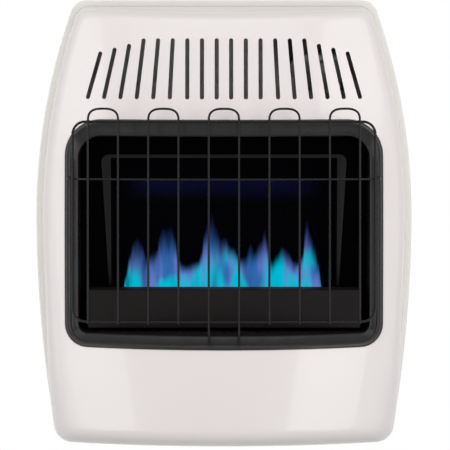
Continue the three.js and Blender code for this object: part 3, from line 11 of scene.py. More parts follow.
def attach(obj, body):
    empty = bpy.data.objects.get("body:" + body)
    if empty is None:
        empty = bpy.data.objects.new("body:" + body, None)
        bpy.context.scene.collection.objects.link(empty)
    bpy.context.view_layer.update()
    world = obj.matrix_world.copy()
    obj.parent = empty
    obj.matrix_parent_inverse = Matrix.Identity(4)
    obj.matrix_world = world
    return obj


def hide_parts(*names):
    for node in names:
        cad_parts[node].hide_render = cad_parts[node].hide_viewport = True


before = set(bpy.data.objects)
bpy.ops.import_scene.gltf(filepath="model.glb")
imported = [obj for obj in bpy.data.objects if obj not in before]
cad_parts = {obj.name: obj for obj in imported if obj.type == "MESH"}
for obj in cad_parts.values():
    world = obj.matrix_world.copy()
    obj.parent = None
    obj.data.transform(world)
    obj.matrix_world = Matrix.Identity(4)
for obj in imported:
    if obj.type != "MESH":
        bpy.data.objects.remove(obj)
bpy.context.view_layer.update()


# ---------------------------------------------------------------- camera and studio
# The photograph's view: a long lens straight in front of the heater and a little above its middle. Soft
# lamps in front and above, a pale floor, and white round about, which polished parts mirror.

FRAME_PIXELS = 450
FOCAL_PIXELS = 2006
SENSOR_WIDTH = 36
CAMERA_PLACE = (0.0016, -3.235, 0.0198)
CAMERA_PITCH = 4.759
FLOOR_Z = -1.9
FLOOR_SIZE = 60
FLOOR_FADE = (0.5, 1.6)
FLOOR_LEAST_WHITE = 0.75
FLOOR_GREY = 0.38
ROOM_LIGHT = 0.42
HEATER_MIDDLE = (0, -0.1, -0.2)

# Each lamp's name, place, width, height, brightness and lean in degrees
LAMPS = [
    ("left_box", (-1.63, -1.70, -0.25), 0.78, 3.3, 2.1, 12),
    ("right_box", (1.45, -1.92, -0.25), 0.90, 3.3, 2.4, -12),
    ("top_box", (-0.1, -2.6, 2.4), 3.6, 2.2, 1.15, 0),
    ("left_fill", (-2.5, -0.7, 0), 1.4, 2.4, 0.7, 0),
    ("right_fill", (2.5, -0.7, 0), 1.4, 2.4, 0.5, 0),
]

bpy.ops.object.select_all(action="DESELECT")
bpy.ops.object.camera_add(location=CAMERA_PLACE, rotation=(radians(90 - CAMERA_PITCH), 0, 0))
camera = bpy.context.object
camera.data.sensor_width = SENSOR_WIDTH
camera.data.lens = SENSOR_WIDTH * FOCAL_PIXELS / FRAME_PIXELS
bpy.context.scene.camera = camera
bpy.context.scene.view_settings.view_transform = "Standard"


def soft_lamp(name, place, width, height, brightness, lean):
    """A soft box that faces the heater, as bright as so many times white paper, its top leant sideways."""
    toward = Vector(HEATER_MIDDLE) - Vector(place)
    turn = toward.to_track_quat("-Z", "Y") @ Quaternion((0, 0, 1), radians(lean))
    bpy.ops.object.light_add(type="AREA", location=place, rotation=turn.to_euler())
    lamp = bpy.context.object
    lamp.name = name
    lamp.data.shape = "RECTANGLE"
    lamp.data.size = width
    lamp.data.size_y = height
    lamp.data.energy = brightness * pi * width * height


for lamp_sizes in LAMPS:
    soft_lamp(*lamp_sizes)


class Socket:
    """An output of a material's node. The operators used on it add the Math nodes that they stand for."""

    def __init__(self, finish, link):
        self.finish = finish
        self.link = link

    def maths(self, operation, first, second=0):
        return self.finish.node("Math", {"operation": operation}, {0: first, 1: second})

    def __add__(self, other):
        return self.maths("ADD", self, other)

    def __sub__(self, other):
        return self.maths("SUBTRACT", self, other)

    def __rsub__(self, other):
        return self.maths("SUBTRACT", other, self)

    def __mul__(self, other):
        return self.maths("MULTIPLY", self, other)

    def __truediv__(self, other):
        return self.maths("DIVIDE", self, other)

    def __pow__(self, other):
        return self.maths("POWER", self, other)

    __radd__ = __add__
    __rmul__ = __mul__

    def absolute(self):
        return self.maths("ABSOLUTE", self)

    def within(self, low, high, bottom=0.0, top=1.0):
        """Eased from bottom to top as this value goes from low to high."""
        ends = {0: self, 1: low, 2: high, 3: bottom, 4: top}
        return self.finish.node("MapRange", {"interpolation_type": "SMOOTHSTEP"}, ends)


class Finish:
    """A material whose Principled shader takes fixed values by name, and patterns through feed."""

    NOISE_SPREAD = (0.3, 0.7)

    def __init__(self, name, **values):
        self.material = bpy.data.materials.new(name)
        self.material.use_nodes = True
        self.tree = self.material.node_tree
        self.shader = self.tree.nodes["Principled BSDF"]
        for socket, value in values.items():
            words = socket.replace("_", " ").title().replace("Ior", "IOR")
            self.shader.inputs[words].default_value = value

    def node(self, kind, settings=None, inputs=None, output=0):
        made = self.tree.nodes.new("ShaderNode" + kind)
        for setting, value in (settings or {}).items():
            setattr(made, setting, value)
        for socket, value in (inputs or {}).items():
            if isinstance(value, Socket):
                self.tree.links.new(value.link, made.inputs[socket])
            else:
                made.inputs[socket].default_value = value
        return Socket(self, made.outputs[output])

    def feed(self, socket, value):
        self.tree.links.new(value.link, self.shader.inputs[socket])

    def place(self):
        """Each point's place on the heater, in metres."""
        return self.node("TexCoord", output="Object")

    def axes(self):
        """The same as three numbers: across, towards the wall and up."""
        place = self.place()
        return [self.node("SeparateXYZ", {}, {0: place}, output) for output in range(3)]

    def noise(self, per_metre, detail=2.0, stretch=(1, 1, 1)):
        scaled = self.node("Mapping", {}, {"Vector": self.place(), "Scale": stretch})
        return self.node("TexNoise", {}, {"Vector": scaled, "Scale": per_metre, "Detail": detail})

    def mix(self, factor, first, second):
        """A colour between two, as the factor goes from 0 to 1."""
        return self.node("Mix", {"data_type": "RGBA"}, {0: factor, 6: first, 7: second}, 2)

    def mottled_or_painted_shade(self, pattern, first, second):
        """The paint's or metal's colour goes from one to the other with a pattern, or with a mask of painted
        shade.
        """
        self.feed("Base Color", self.mix(pattern, first, second))

    def worn(self, pattern, low, high):
        """The roughness goes from low to high with a noise, most of whose values lie in its spread."""
        self.feed("Roughness", pattern.within(*self.NOISE_SPREAD, low, high))

    def bump(self, height, distance, strength):
        inputs = {"Height": height, "Distance": distance, "Strength": strength}
        self.feed("Normal", self.node("Bump", {}, inputs))


def white_behind(finish, share):
    """Whether a ray comes from the camera or off something polished, times a share."""
    seen = [finish.node("LightPath", output=name) for name in
            ("Is Camera Ray", "Is Glossy Ray", "Is Transmission Ray")]
    return (seen[0] + seen[1] + seen[2]) * share


floor_paint = Finish("floor_paint", base_color=(FLOOR_GREY, FLOOR_GREY, FLOOR_GREY, 1), roughness=0.9)
glow = floor_paint.node("Emission", {}, {"Color": (1, 1, 1, 1), "Strength": 1.0})
floor_across, floor_back, _ = floor_paint.axes()
far = (floor_across ** 2 + floor_back ** 2).within(
    FLOOR_FADE[0] ** 2, FLOOR_FADE[1] ** 2, FLOOR_LEAST_WHITE, 1.0)
blended = floor_paint.node("MixShader", {}, {
    0: white_behind(floor_paint, far), 1: Socket(floor_paint, floor_paint.shader.outputs[0]), 2: glow})
floor_paint.tree.links.new(blended.link, floor_paint.tree.nodes["Material Output"].inputs["Surface"])

bpy.ops.mesh.primitive_plane_add(size=FLOOR_SIZE, location=(0, 0, FLOOR_Z))
floor = bpy.context.object
floor.name = "floor"
floor.data.materials.append(floor_paint.material)


class Room(Finish):
    """The world round the heater: white to the camera and in polished parts, softer as light."""

    def __init__(self):
        world = bpy.data.worlds.new("room")
        bpy.context.scene.world = world
        world.use_nodes = True
        self.tree = world.node_tree
        self.shader = self.tree.nodes["Background"]
        self.shader.inputs["Color"].default_value = (1, 1, 1, 1)
        self.feed("Strength", white_behind(self, 1 - ROOM_LIGHT) + ROOM_LIGHT)


Room()


# ---------------------------------------------------------------- front cover
# One deep drawn sheet steel pressing, powder coated warm white. Its sides bow like a barrel, its face is
# bowed both ways, and eighteen louvre slots fan out above the window opening.

WIDTH = 0.594
WIDEST_Z = -0.235
TOP_Z = 0.110
BOTTOM_Z = -0.580
UPPER_SIDE_R = 0.970
LOWER_SIDE_R = 2.080
TOP_CORNER_R = 0.026
BOTTOM_CORNER_R = 0.030
CORNER_SHARPENING = 0.35
LEAST_CORNER_R = 0.004

FRONT_DEPTH = 0.235
FOREMOST_Z = -0.400
FACE_UPPER_R = 2.000
FACE_LOWER_R = 1.280
FACE_PLAN_R = 0.630
SHEET = 0.0012
RIM_DEPTH = 0.0703
UPPER_DRAFT = 10.5
LOWER_DRAFT = 2.5
UPPER_SHOULDER = (0.015, 0.018)
LOWER_SHOULDER = (0.030, 0.034)
SHOULDER_BLEND_Z = (-0.330, -0.560)
UPPER_STEP = 0.0055
UPPER_RIM_STEP = 0.0085
LOWER_STEP = 0.004

EDGE_STEPS = 34
CORNER_STEPS = 10
SIDE_STEPS = 76
FLANGE_STEPS = 4
SHOULDER_STEPS = 8
FACE_STEPS = 22
HALVINGS = 30
MERGE_DISTANCE = 1e-6
SHEET_CREASE = 35


def drop(radius, offset):
    return radius - sqrt(radius * radius - offset * offset)


def mixed(first, second, share):
    return first + (second - first) * share


def eased(value, start, end):
    share = min(1, max(0, (value - start) / (end - start)))
    return share * share * (3 - 2 * share)


def side_radius(z):
    return UPPER_SIDE_R if z > WIDEST_Z else LOWER_SIDE_R


def half_width(z, inset):
    return WIDTH / 2 - inset - drop(side_radius(z) - inset, z - WIDEST_Z)


def face_depth(x, z):
    side = FACE_UPPER_R if z > FOREMOST_Z else FACE_LOWER_R
    return FRONT_DEPTH - drop(side, z - FOREMOST_Z) - drop(FACE_PLAN_R, x)


def barrel_corner(level, radius, inset):
    """The centre, radius and angles of a corner between the barrel's side and its top or bottom edge."""
    up = 1 if level > WIDEST_Z else -1
    z = level - up * radius
    slope = abs(asin((z - WIDEST_Z) / (side_radius(z) - inset)))
    return half_width(z, inset) - radius / cos(slope), z, radius, up * slope, up * pi / 2


def barrel_point(step, inset, levels):
    """One point of the barrel's right half, counted from the bottom middle to the top middle."""
    top, bottom, top_r, bottom_r = levels
    corners = [
        barrel_corner(level, max(LEAST_CORNER_R, radius - CORNER_SHARPENING * inset), inset)
        for level, radius in ((bottom + inset, bottom_r), (top - inset, top_r))
    ]
    (low_x, low_z, low_r, low_side, low_edge), (high_x, high_z, high_r, high_side, high_edge) = corners
    if step < EDGE_STEPS:
        return low_x * step / EDGE_STEPS, low_z - low_r
    step -= EDGE_STEPS
    if step < CORNER_STEPS:
        angle = mixed(low_edge, low_side, step / CORNER_STEPS)
        return low_x + low_r * cos(angle), low_z + low_r * sin(angle)
    step -= CORNER_STEPS
    if step < SIDE_STEPS:
        z = mixed(low_z + low_r * sin(low_side), high_z + high_r * sin(high_side), step / SIDE_STEPS)
        return half_width(z, inset), z
    step -= SIDE_STEPS
    if step < CORNER_STEPS:
        angle = mixed(high_side, high_edge, step / CORNER_STEPS)
        return high_x + high_r * cos(angle), high_z + high_r * sin(angle)
    step -= CORNER_STEPS
    return high_x * (1 - step / EDGE_STEPS), high_z + high_r


HALF_COUNT = 2 * EDGE_STEPS + 2 * CORNER_STEPS + SIDE_STEPS
BARREL_COUNT = 2 * HALF_COUNT
COVER_LEVELS = (TOP_Z, BOTTOM_Z - LOWER_STEP, TOP_CORNER_R, BOTTOM_CORNER_R)


def barrel_outline(inset_at, levels):
    """The whole outline, anticlockwise from the bottom middle, drawn in by inset_at(point number)."""
    points = []
    for k in range(BARREL_COUNT):
        mirrored = k > HALF_COUNT
        x, z = barrel_point(BARREL_COUNT - k if mirrored else k, inset_at(k), levels)
        points.append((-x if mirrored else x, z))
    return points


def rounded_opening_reach(across, up, half, low, high, low_r, high_r):
    """How far a ray from the origin goes to leave a rounded rectangle."""
    near, far = 0.0, 1.0
    for _ in range(HALVINGS):
        middle = (near + far) / 2
        x, z = abs(across * middle), up * middle
        level, radius = (high, high_r) if z > 0 else (-low, low_r)
        dx, dz = x - (half - radius), abs(z) - (level - radius)
        inside = max(dx, dz) < radius if min(dx, dz) < 0 else dx * dx + dz * dz < radius * radius
        near, far = (middle, far) if inside else (near, middle)
    return near


BEZEL_HALF_WIDTH = 0.2437
BEZEL_TOP_Z = -0.073
BEZEL_BOTTOM_Z = -0.420
BEZEL_TOP_R = 0.056
BEZEL_BOTTOM_R = 0.034
BEZEL_MIDDLE_Z = (BEZEL_TOP_Z + BEZEL_BOTTOM_Z) / 2


def opening_point(x, z):
    """The point of the window opening's edge on the line from its middle to (x, z)."""
    up = z - BEZEL_MIDDLE_Z
    reach = rounded_opening_reach(
        x, up, BEZEL_HALF_WIDTH, BEZEL_BOTTOM_Z - BEZEL_MIDDLE_Z, BEZEL_TOP_Z - BEZEL_MIDDLE_Z,
        BEZEL_BOTTOM_R, BEZEL_TOP_R)
    return x * reach, BEZEL_MIDDLE_Z + up * reach


def cover_rings():
    """From the rim, up the flange, over the shoulder and across the face to the window's opening."""
    lowness = [eased(z, *SHOULDER_BLEND_Z) for _, z in barrel_outline(lambda k: 0, COVER_LEVELS)]
    steps = [mixed(UPPER_STEP, LOWER_STEP, low) for low in lowness]
    rim_steps = [mixed(UPPER_RIM_STEP, LOWER_STEP, low) for low in lowness]
    widths = [mixed(UPPER_SHOULDER[0], LOWER_SHOULDER[0], low) for low in lowness]
    falls = [mixed(UPPER_SHOULDER[1], LOWER_SHOULDER[1], low) for low in lowness]
    drafts = [tan(radians(mixed(UPPER_DRAFT, LOWER_DRAFT, low))) for low in lowness]
    rim = barrel_outline(lambda k: steps[k], COVER_LEVELS)
    flanges = [face_depth(x, z) - falls[k] - RIM_DEPTH for k, (x, z) in enumerate(rim)]
    rings = []
    for j in range(FLANGE_STEPS):
        share = j / FLANGE_STEPS
        level = barrel_outline(
            lambda k: mixed(rim_steps[k], steps[k] + flanges[k] * drafts[k], share), COVER_LEVELS)
        rings.append([(x, -RIM_DEPTH - flanges[k] * share, z) for k, (x, z) in enumerate(level)])
    for j in range(SHOULDER_STEPS + 1):
        turn = pi / 2 * j / SHOULDER_STEPS
        level = barrel_outline(
            lambda k: steps[k] + flanges[k] * drafts[k] + widths[k] * (1 - cos(turn)), COVER_LEVELS)
        rings.append([
            (x, falls[k] * (1 - sin(turn)) - face_depth(x, z), z) for k, (x, z) in enumerate(level)])
    edge = [(x, z) for x, _, z in rings[-1]]
    for j in range(1, FACE_STEPS + 1):
        ring = []
        for x, z in edge:
            end_x, end_z = opening_point(x, z)
            px, pz = mixed(x, end_x, j / FACE_STEPS), mixed(z, end_z, j / FACE_STEPS)
            ring.append((px, -face_depth(px, pz), pz))
        rings.append(ring)
    return rings


def edit_all(operator, **settings):
    """One edit mode operator on every vertex of the active piece."""
    bpy.ops.object.mode_set(mode="EDIT")
    bpy.ops.mesh.select_all(action="SELECT")
    operator(**settings)
    bpy.ops.object.mode_set(mode="OBJECT")


def take(*pieces):
    """Only these pieces are selected, the first of them active."""
    bpy.ops.object.select_all(action="DESELECT")
    for piece in pieces:
        piece.select_set(True)
    bpy.context.view_layer.objects.active = pieces[0]


def lofted(name, rings):
    """A skin over rings of points: a grid primitive with its corners set on them and its seam closed."""
    columns, rows = len(rings[0]), len(rings) - 1
    bpy.ops.object.select_all(action="DESELECT")
    bpy.ops.mesh.primitive_grid_add(x_subdivisions=columns, y_subdivisions=rows, size=1)
    piece = bpy.context.object
    piece.name = name
    for vertex in piece.data.vertices:
        column = round((vertex.co.x + 0.5) * columns) % columns
        row = round((vertex.co.y + 0.5) * rows)
        vertex.co = rings[row][column]
    edit_all(bpy.ops.mesh.remove_doubles, threshold=MERGE_DISTANCE)
    return piece


def smoothed(piece, crease):
    """Smooth shading, but for edges sharper than the crease in degrees."""
    take(piece)
    bpy.ops.object.shade_smooth_by_angle(angle=radians(crease))


def modify(piece, kind, **settings):
    """A modifier, applied."""
    take(piece)
    bpy.ops.object.modifier_add(type=kind)
    modifier = piece.modifiers[-1]
    for setting, value in settings.items():
        setattr(modifier, setting, value)
    bpy.ops.object.modifier_apply(modifier=modifier.name)


def sheet_shell(name, rings):
    """A skin with the sheet's thickness behind it."""
    piece = lofted(name, rings)
    modify(piece, "SOLIDIFY", thickness=SHEET, offset=-1, use_even_offset=True)
    return piece


def slot_punch(start, end, width, through):
    """A punch for a slot with round ends, between the two ends' centres, as long as through."""
    run = end - start
    bpy.ops.object.select_all(action="DESELECT")
    bpy.ops.mesh.primitive_cube_add(size=1)
    punch = bpy.context.object
    punch.data.transform(Matrix.Diagonal((run.length + width, width, through.length, 1)))
    bpy.ops.object.mode_set(mode="EDIT")
    bpy.ops.mesh.select_all(action="DESELECT")
    bpy.ops.mesh.select_mode(type="EDGE")
    mesh = bmesh.from_edit_mesh(punch.data)
    for edge in mesh.edges:
        first, second = (corner.co for corner in edge.verts)
        edge.select = abs(first.z - second.z) > through.length / 2
    mesh.select_flush(True)
    bmesh.update_edit_mesh(punch.data)
    bpy.ops.mesh.bevel(offset=width * SLOT_END_SHARE, segments=SLOT_END_STEPS, affect="EDGES")
    bpy.ops.object.mode_set(mode="OBJECT")
    deep = through.normalized()
    long = run.normalized()
    turn = Matrix((long, deep.cross(long), deep)).transposed().to_4x4()
    turn.translation = (start + end) / 2
    punch.data.transform(turn)
    return punch


def punched(piece, punches):
    """The piece with all the punches taken out of it."""
    take(*punches)
    bpy.ops.object.join()
    modify(piece, "BOOLEAN", object=punches[0], operation="DIFFERENCE", solver="EXACT")
    bpy.data.objects.remove(punches[0])


def dressed(piece, finish, slot, body, *nodes):
    """The finished piece: its material, the CAD nodes it stands for and its body; the record's slot is not
    used.
    """
    piece.data.materials.clear()
    piece.data.materials.append(finish.material)
    if nodes:
        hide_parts(*nodes)
    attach(piece, body)
    return piece


SLOTS_PER_SIDE = 9
SLOT_WIDTH = 0.0064
SLOT_END_SHARE = 0.4999
SLOT_END_STEPS = 6
SLOT_SHIFT = 0.0002
SLOT_PITCH = 0.02225
SLOT_TOP_Z = 0.0496
SLOT_BOTTOM_Z = -0.0426
STRAIGHT_SLOTS = 3
FAN_START = 0.0013
FAN_STEP = 0.0029
LOW_SLOTS = 3
LOW_SLOT_DROP = 0.0083
LOW_SLOT_STEP = 0.0058
LOUVRE_PUNCH_SET_BACK = 0.05
LOUVRE_PUNCH_LENGTH = 0.16


def louvre_punches():
    """The fan above the window: upright in the middle, leant outwards and lower towards the sides."""
    through = Vector((0, -LOUVRE_PUNCH_LENGTH, 0))
    y = -FRONT_DEPTH + LOUVRE_PUNCH_SET_BACK
    punches = []
    for i in range(SLOTS_PER_SIDE):
        top_x = SLOT_PITCH * (i + 0.5) - SLOT_SHIFT
        fanned = i - STRAIGHT_SLOTS + 1
        bottom_x = top_x + (FAN_START + FAN_STEP * fanned if fanned > 0 else 0)
        lowered = i - (SLOTS_PER_SIDE - LOW_SLOTS)
        top_z = SLOT_TOP_Z - (LOW_SLOT_DROP + LOW_SLOT_STEP * lowered if lowered >= 0 else 0)
        for side in (-1, 1):
            start = Vector((side * bottom_x, y, SLOT_BOTTOM_Z + SLOT_WIDTH / 2))
            end = Vector((side * top_x, y, top_z - SLOT_WIDTH / 2))
            punches.append(slot_punch(start, end, SLOT_WIDTH, through))
    return punches


AIR_SLOTS = 7
AIR_SLOT_PITCH = 0.048
INTAKE_DEPTHS = (0.096, 0.140)
INTAKE_PUNCH_LENGTH = 0.03


def air_slot_punches(places, level, depths, length):
    """A row of slots through a level sheet, each running from front to back."""
    return [
        slot_punch(Vector((x, -depths[0], level)), Vector((x, -depths[1], level)), SLOT_WIDTH,
                   Vector((0, 0, length)))
        for x in places
    ]


COVER_SCREW = (0.205, 0.084)
COVER_SCREW_HOLE_R = 0.0023
PUNCH_REACH = 0.01
ROD_SIDES = 32


def block(name, low, high):
    """A cube primitive between two corners."""
    bpy.ops.object.select_all(action="DESELECT")
    bpy.ops.mesh.primitive_cube_add(size=1)
    piece = bpy.context.object
    piece.name = name
    size = Vector(high) - Vector(low)
    piece.data.transform(Matrix.Diagonal((*size, 1)))
    piece.data.transform(Matrix.Translation((Vector(high) + Vector(low)) / 2))
    return piece


def rod(name, start, end, radius):
    """A cylinder primitive between two points."""
    run = Vector(end) - Vector(start)
    bpy.ops.object.select_all(action="DESELECT")
    bpy.ops.mesh.primitive_cylinder_add(radius=radius, depth=run.length, vertices=ROD_SIDES)
    piece = bpy.context.object
    piece.name = name
    turn = run.to_track_quat("Z", "Y").to_matrix().to_4x4()
    turn.translation = (Vector(start) + Vector(end)) / 2
    piece.data.transform(turn)
    return piece


# Where the paint's colour changes, as places towards the wall and up. The joint's band is painted shade.
FLANGE_TINT_BACK = (-0.15, -0.1)
JOINT_SHADE_BACK = (-0.092, -0.074)
JOINT_EDGE_BACK = (-0.0703, -0.0701)
JOINT_SHADE_UP = (0.06, 0.07)

white_paint = Finish("white_powder_coat", base_color=(0.82, 0.765, 0.762, 1), roughness=0.32,
                     specular_ior_level=0.5, coat_weight=0.5, coat_roughness=0.05)
orange_peel = white_paint.noise(420, detail=1.5)
mottle = white_paint.noise(9, detail=3)
_, paint_back, paint_up = white_paint.axes()
# Painted shade: the top flange is painted darker where it turns in to the joint under the casing's lip
near_joint = paint_back.within(*JOINT_SHADE_BACK) * paint_back.within(*JOINT_EDGE_BACK, 1.0, 0.0)
painted_joint_shade = near_joint * paint_up.within(*JOINT_SHADE_UP)
face_white = white_paint.mix(mottle, (0.83, 0.77, 0.768, 1), (0.82, 0.76, 0.757, 1))
edge_white = white_paint.mix(
    paint_back.within(*FLANGE_TINT_BACK), face_white, (0.82, 0.79, 0.762, 1))
white_paint.mottled_or_painted_shade(painted_joint_shade, edge_white, (0.6, 0.57, 0.545, 1))
white_paint.worn(mottle, 0.29, 0.36)
white_paint.bump(orange_peel, 0.00003, 0.5)

cover = sheet_shell("cover_pressing", cover_rings())
intake_places = [(i - (AIR_SLOTS - 1) / 2) * AIR_SLOT_PITCH for i in range(AIR_SLOTS)]
screw_punches = [
    rod("screw_punch", (side * COVER_SCREW[0], -COVER_SCREW[1], BOTTOM_Z - PUNCH_REACH),
        (side * COVER_SCREW[0], -COVER_SCREW[1], BOTTOM_Z + PUNCH_REACH), COVER_SCREW_HOLE_R)
    for side in (-1, 1)
]
fan_punches = louvre_punches()
intake_punches = air_slot_punches(intake_places, BOTTOM_Z, INTAKE_DEPTHS, INTAKE_PUNCH_LENGTH)
punched(cover, fan_punches + intake_punches + screw_punches)
smoothed(cover, SHEET_CREASE)
dressed(cover, white_paint, "white_enamel", "heater", "front_cover")


# ---------------------------------------------------------------- window surround
# A black enamelled steel frame that clips into the cover's opening. It has a raised lip on the cover, a
# sloping band that falls back all round, and walls that reach the window panel.

BEZEL_FIT = 0.0005
BEZEL_BAND = 0.021
BEZEL_TOP_BAND = 0.0265
BEZEL_BAND_DROP = 0.013
BEZEL_LIP = 0.0022
BEZEL_SHEET = 0.0014
PANEL_FRONT = 0.1312
PANEL_GAP = 0.0003
BEZEL_CREASE = 50
# Steps along the top and bottom, up each side and round each corner
BEZEL_STEPS = (48, 30, 10)

# Its section. On the lip, each point's inset from the outer edge and height over the cover's face; on the
# sloping band, the inset from the band's inner edge and the height over its foot.
BEZEL_SKIRT = -0.008
LIP_SECTION = [
    (BEZEL_FIT, BEZEL_SKIRT), (BEZEL_FIT, BEZEL_LIP - 0.0012), (BEZEL_FIT + 0.0003, BEZEL_LIP - 0.0005),
    (BEZEL_FIT + 0.001, BEZEL_LIP - 0.0001), (BEZEL_FIT + 0.002, BEZEL_LIP), (0.0042, BEZEL_LIP),
    (0.0053, BEZEL_LIP - 0.0003), (0.0064, BEZEL_LIP - 0.0010), (0.0074, 0.0003), (0.0086, -0.0006),
]
BAND_SECTION = [(-0.0100, 0.0072), (-0.0030, 0.0036), (-0.0014, 0.0022), (-0.0004, 0.0008), (0, -0.0012)]
BAND_BACK_RISE = -0.0006
LIP_BACK = (0.0070, -0.0013)


def frame_outline(half, top, bottom, top_r, bottom_r, edge_steps, side_steps, corner_steps):
    """A rounded rectangle in the front view, anticlockwise, as (x, z, outward x, outward z)."""
    corners = [
        (half - bottom_r, bottom + bottom_r, bottom_r, -90, side_steps),
        (half - top_r, top - top_r, top_r, 0, edge_steps),
        (top_r - half, top - top_r, top_r, 90, side_steps),
        (bottom_r - half, bottom + bottom_r, bottom_r, 180, edge_steps),
    ]
    points = []
    for i, (x, z, radius, start, steps) in enumerate(corners):
        for j in range(corner_steps + 1):
            angle = radians(start + 90 * j / corner_steps)
            points.append((x + radius * cos(angle), z + radius * sin(angle), cos(angle), sin(angle)))
        next_x, next_z, next_r, next_start, _ = corners[(i + 1) % 4]
        angle = radians(next_start)
        end = (next_x + next_r * cos(angle), next_z + next_r * sin(angle))
        from_x, from_z, out_x, out_z = points[-1]
        for j in range(1, steps):
            x, z = mixed(from_x, end[0], j / steps), mixed(from_z, end[1], j / steps)
            points.append((x, z, out_x, out_z))
    return points


def bezel_rings():
    """The section carried round: over the lip, down the band to the panel, and back behind them."""
    outline = frame_outline(
        BEZEL_HALF_WIDTH, BEZEL_TOP_Z, BEZEL_BOTTOM_Z, BEZEL_TOP_R, BEZEL_BOTTOM_R, *BEZEL_STEPS)

    def ring(inset, height, from_band=False, at_panel=False):
        places = []
        for x, z, out_x, out_z in outline:
            band = mixed(BEZEL_BAND, BEZEL_TOP_BAND, max(0, out_z))
            drawn_in = inset + (band if from_band else 0)
            px, pz = x - out_x * drawn_in, z - out_z * drawn_in
            depth = PANEL_FRONT + PANEL_GAP if at_panel else face_depth(px, pz) + height
            places.append((px, -depth, pz))
        return places

    fallen, wall = -BEZEL_BAND_DROP, BEZEL_SHEET
    lip = [ring(inset, height) for inset, height in LIP_SECTION]
    band = [ring(inset, fallen + rise, True) for inset, rise in BAND_SECTION]
    at_panel = [ring(0, 0, True, True), ring(-wall, 0, True, True)]
    behind = [
        ring(-wall, fallen + BAND_BACK_RISE, True), ring(*LIP_BACK),
        ring(BEZEL_FIT + wall, BEZEL_LIP - wall), ring(BEZEL_FIT + wall, BEZEL_SKIRT),
    ]
    return lip + band + at_panel + behind


black_enamel = Finish("black_heat_enamel", base_color=(0.0105, 0.0092, 0.0096, 1), roughness=0.3,
                      specular_ior_level=0.33)
pebble = black_enamel.noise(900, detail=2)
black_enamel.worn(black_enamel.noise(30, detail=3), 0.24, 0.36)
black_enamel.bump(pebble, 0.00003, 0.4)

section_rings = bezel_rings()
surround = lofted("window_surround", section_rings + section_rings[:1])
edit_all(bpy.ops.mesh.normals_make_consistent, inside=False)
smoothed(surround, BEZEL_CREASE)
dressed(surround, black_enamel, "black_enamel", "heater", "window_bezel")


# ---------------------------------------------------------------- rear casing
# A shallow sheet steel pan in the cover's white, with a rolled lip that the cover's rim sits on. It has
# warm air slots in its top, fresh air slots and the gas inlet's hole below, and two hook slots behind.

CASING_REAR = 0.004
CASING_FRONT = 0.070
CASING_BOTTOM_Z = -0.562
CASING_LIP = 0.013
CASING_CORNER_R = 0.018
CASING_FOLD_R = 0.0022
CASING_BACK_INSET = 0.03
FOLD_STEPS = 4
CASING_LEVELS = (TOP_Z, CASING_BOTTOM_Z, TOP_CORNER_R, CASING_CORNER_R)


def casing_rings():
    """From the middle of the back, round the two folds, to the lip's inner edge."""
    def ring(inset, depth):
        return [(x, -depth, z) for x, z in barrel_outline(lambda k: inset, CASING_LEVELS)]

    folds = [pi / 2 * j / FOLD_STEPS for j in range(FOLD_STEPS + 1)]
    rear = [
        ring(CASING_FOLD_R * (1 - sin(turn)), CASING_REAR + CASING_FOLD_R * (1 - cos(turn)))
        for turn in folds
    ]
    front = [
        ring(CASING_FOLD_R * (1 - cos(turn)), CASING_FRONT - CASING_FOLD_R * (1 - sin(turn)))
        for turn in folds
    ]
    middle = [(0, -CASING_REAR, WIDEST_Z)] * BARREL_COUNT
    return [middle, ring(CASING_BACK_INSET, CASING_REAR)] + rear + front + [ring(CASING_LIP, CASING_FRONT)]


HOOK_X = 0.100
HOOK_SLOT_HALF_WIDTH = 0.013
HOOK_SLOT_LEVELS = (-0.012, 0.0058)
HOOK_PUNCH_DEPTH = 0.012
INLET = (0.208, 0.042)
INLET_HOLE_R = 0.012
WELL_X = (0.076, 0.200)
WELL_DEPTHS = (0.020, 0.064)
WELL_FLOOR_Z = 0.074
WELL_OVERHANG = 0.0015
TOP_VENTS = 6
TOP_VENT_RIGHT = 0.048
TOP_VENT_DEPTHS = (0.020, 0.052)
FLOOR_SLOT_DEPTHS = (0.020, 0.050)
CASING_PUNCH_LENGTH = 0.02

casing = sheet_shell("casing_pan", casing_rings())
casing_punches = [
    block("hook_punch", (side * HOOK_X - HOOK_SLOT_HALF_WIDTH, -HOOK_PUNCH_DEPTH, HOOK_SLOT_LEVELS[0]),
          (side * HOOK_X + HOOK_SLOT_HALF_WIDTH, 0, HOOK_SLOT_LEVELS[1]))
    for side in (-1, 1)
]
casing_punches.append(rod(
    "inlet_punch", (INLET[0], -INLET[1], CASING_BOTTOM_Z - PUNCH_REACH),
    (INLET[0], -INLET[1], CASING_BOTTOM_Z + PUNCH_REACH), INLET_HOLE_R))
casing_punches.append(block(
    "well_punch",
    (WELL_X[0] + WELL_OVERHANG, -WELL_DEPTHS[1] + WELL_OVERHANG, WELL_FLOOR_Z),
    (WELL_X[1] - WELL_OVERHANG, -WELL_DEPTHS[0] - WELL_OVERHANG, TOP_Z + PUNCH_REACH)))
casing_punches += air_slot_punches(
    [TOP_VENT_RIGHT - i * AIR_SLOT_PITCH for i in range(TOP_VENTS)], TOP_Z, TOP_VENT_DEPTHS,
    CASING_PUNCH_LENGTH)
casing_punches += air_slot_punches(
    [(i - AIR_SLOTS / 2 - 0.5) * AIR_SLOT_PITCH for i in range(AIR_SLOTS)], CASING_BOTTOM_Z,
    FLOOR_SLOT_DEPTHS, CASING_PUNCH_LENGTH)
punched(casing, casing_punches)
smoothed(casing, SHEET_CREASE)
dressed(casing, white_paint, "white_enamel", "heater", "rear_casing")


# ---------------------------------------------------------------- wire guard
# Black coated steel wire: a rounded frame, a cross rail whose ends hook on to the surround, and five
# hairpins whose loops stand over the top. The middle hairpin's feet turn back into the surround.

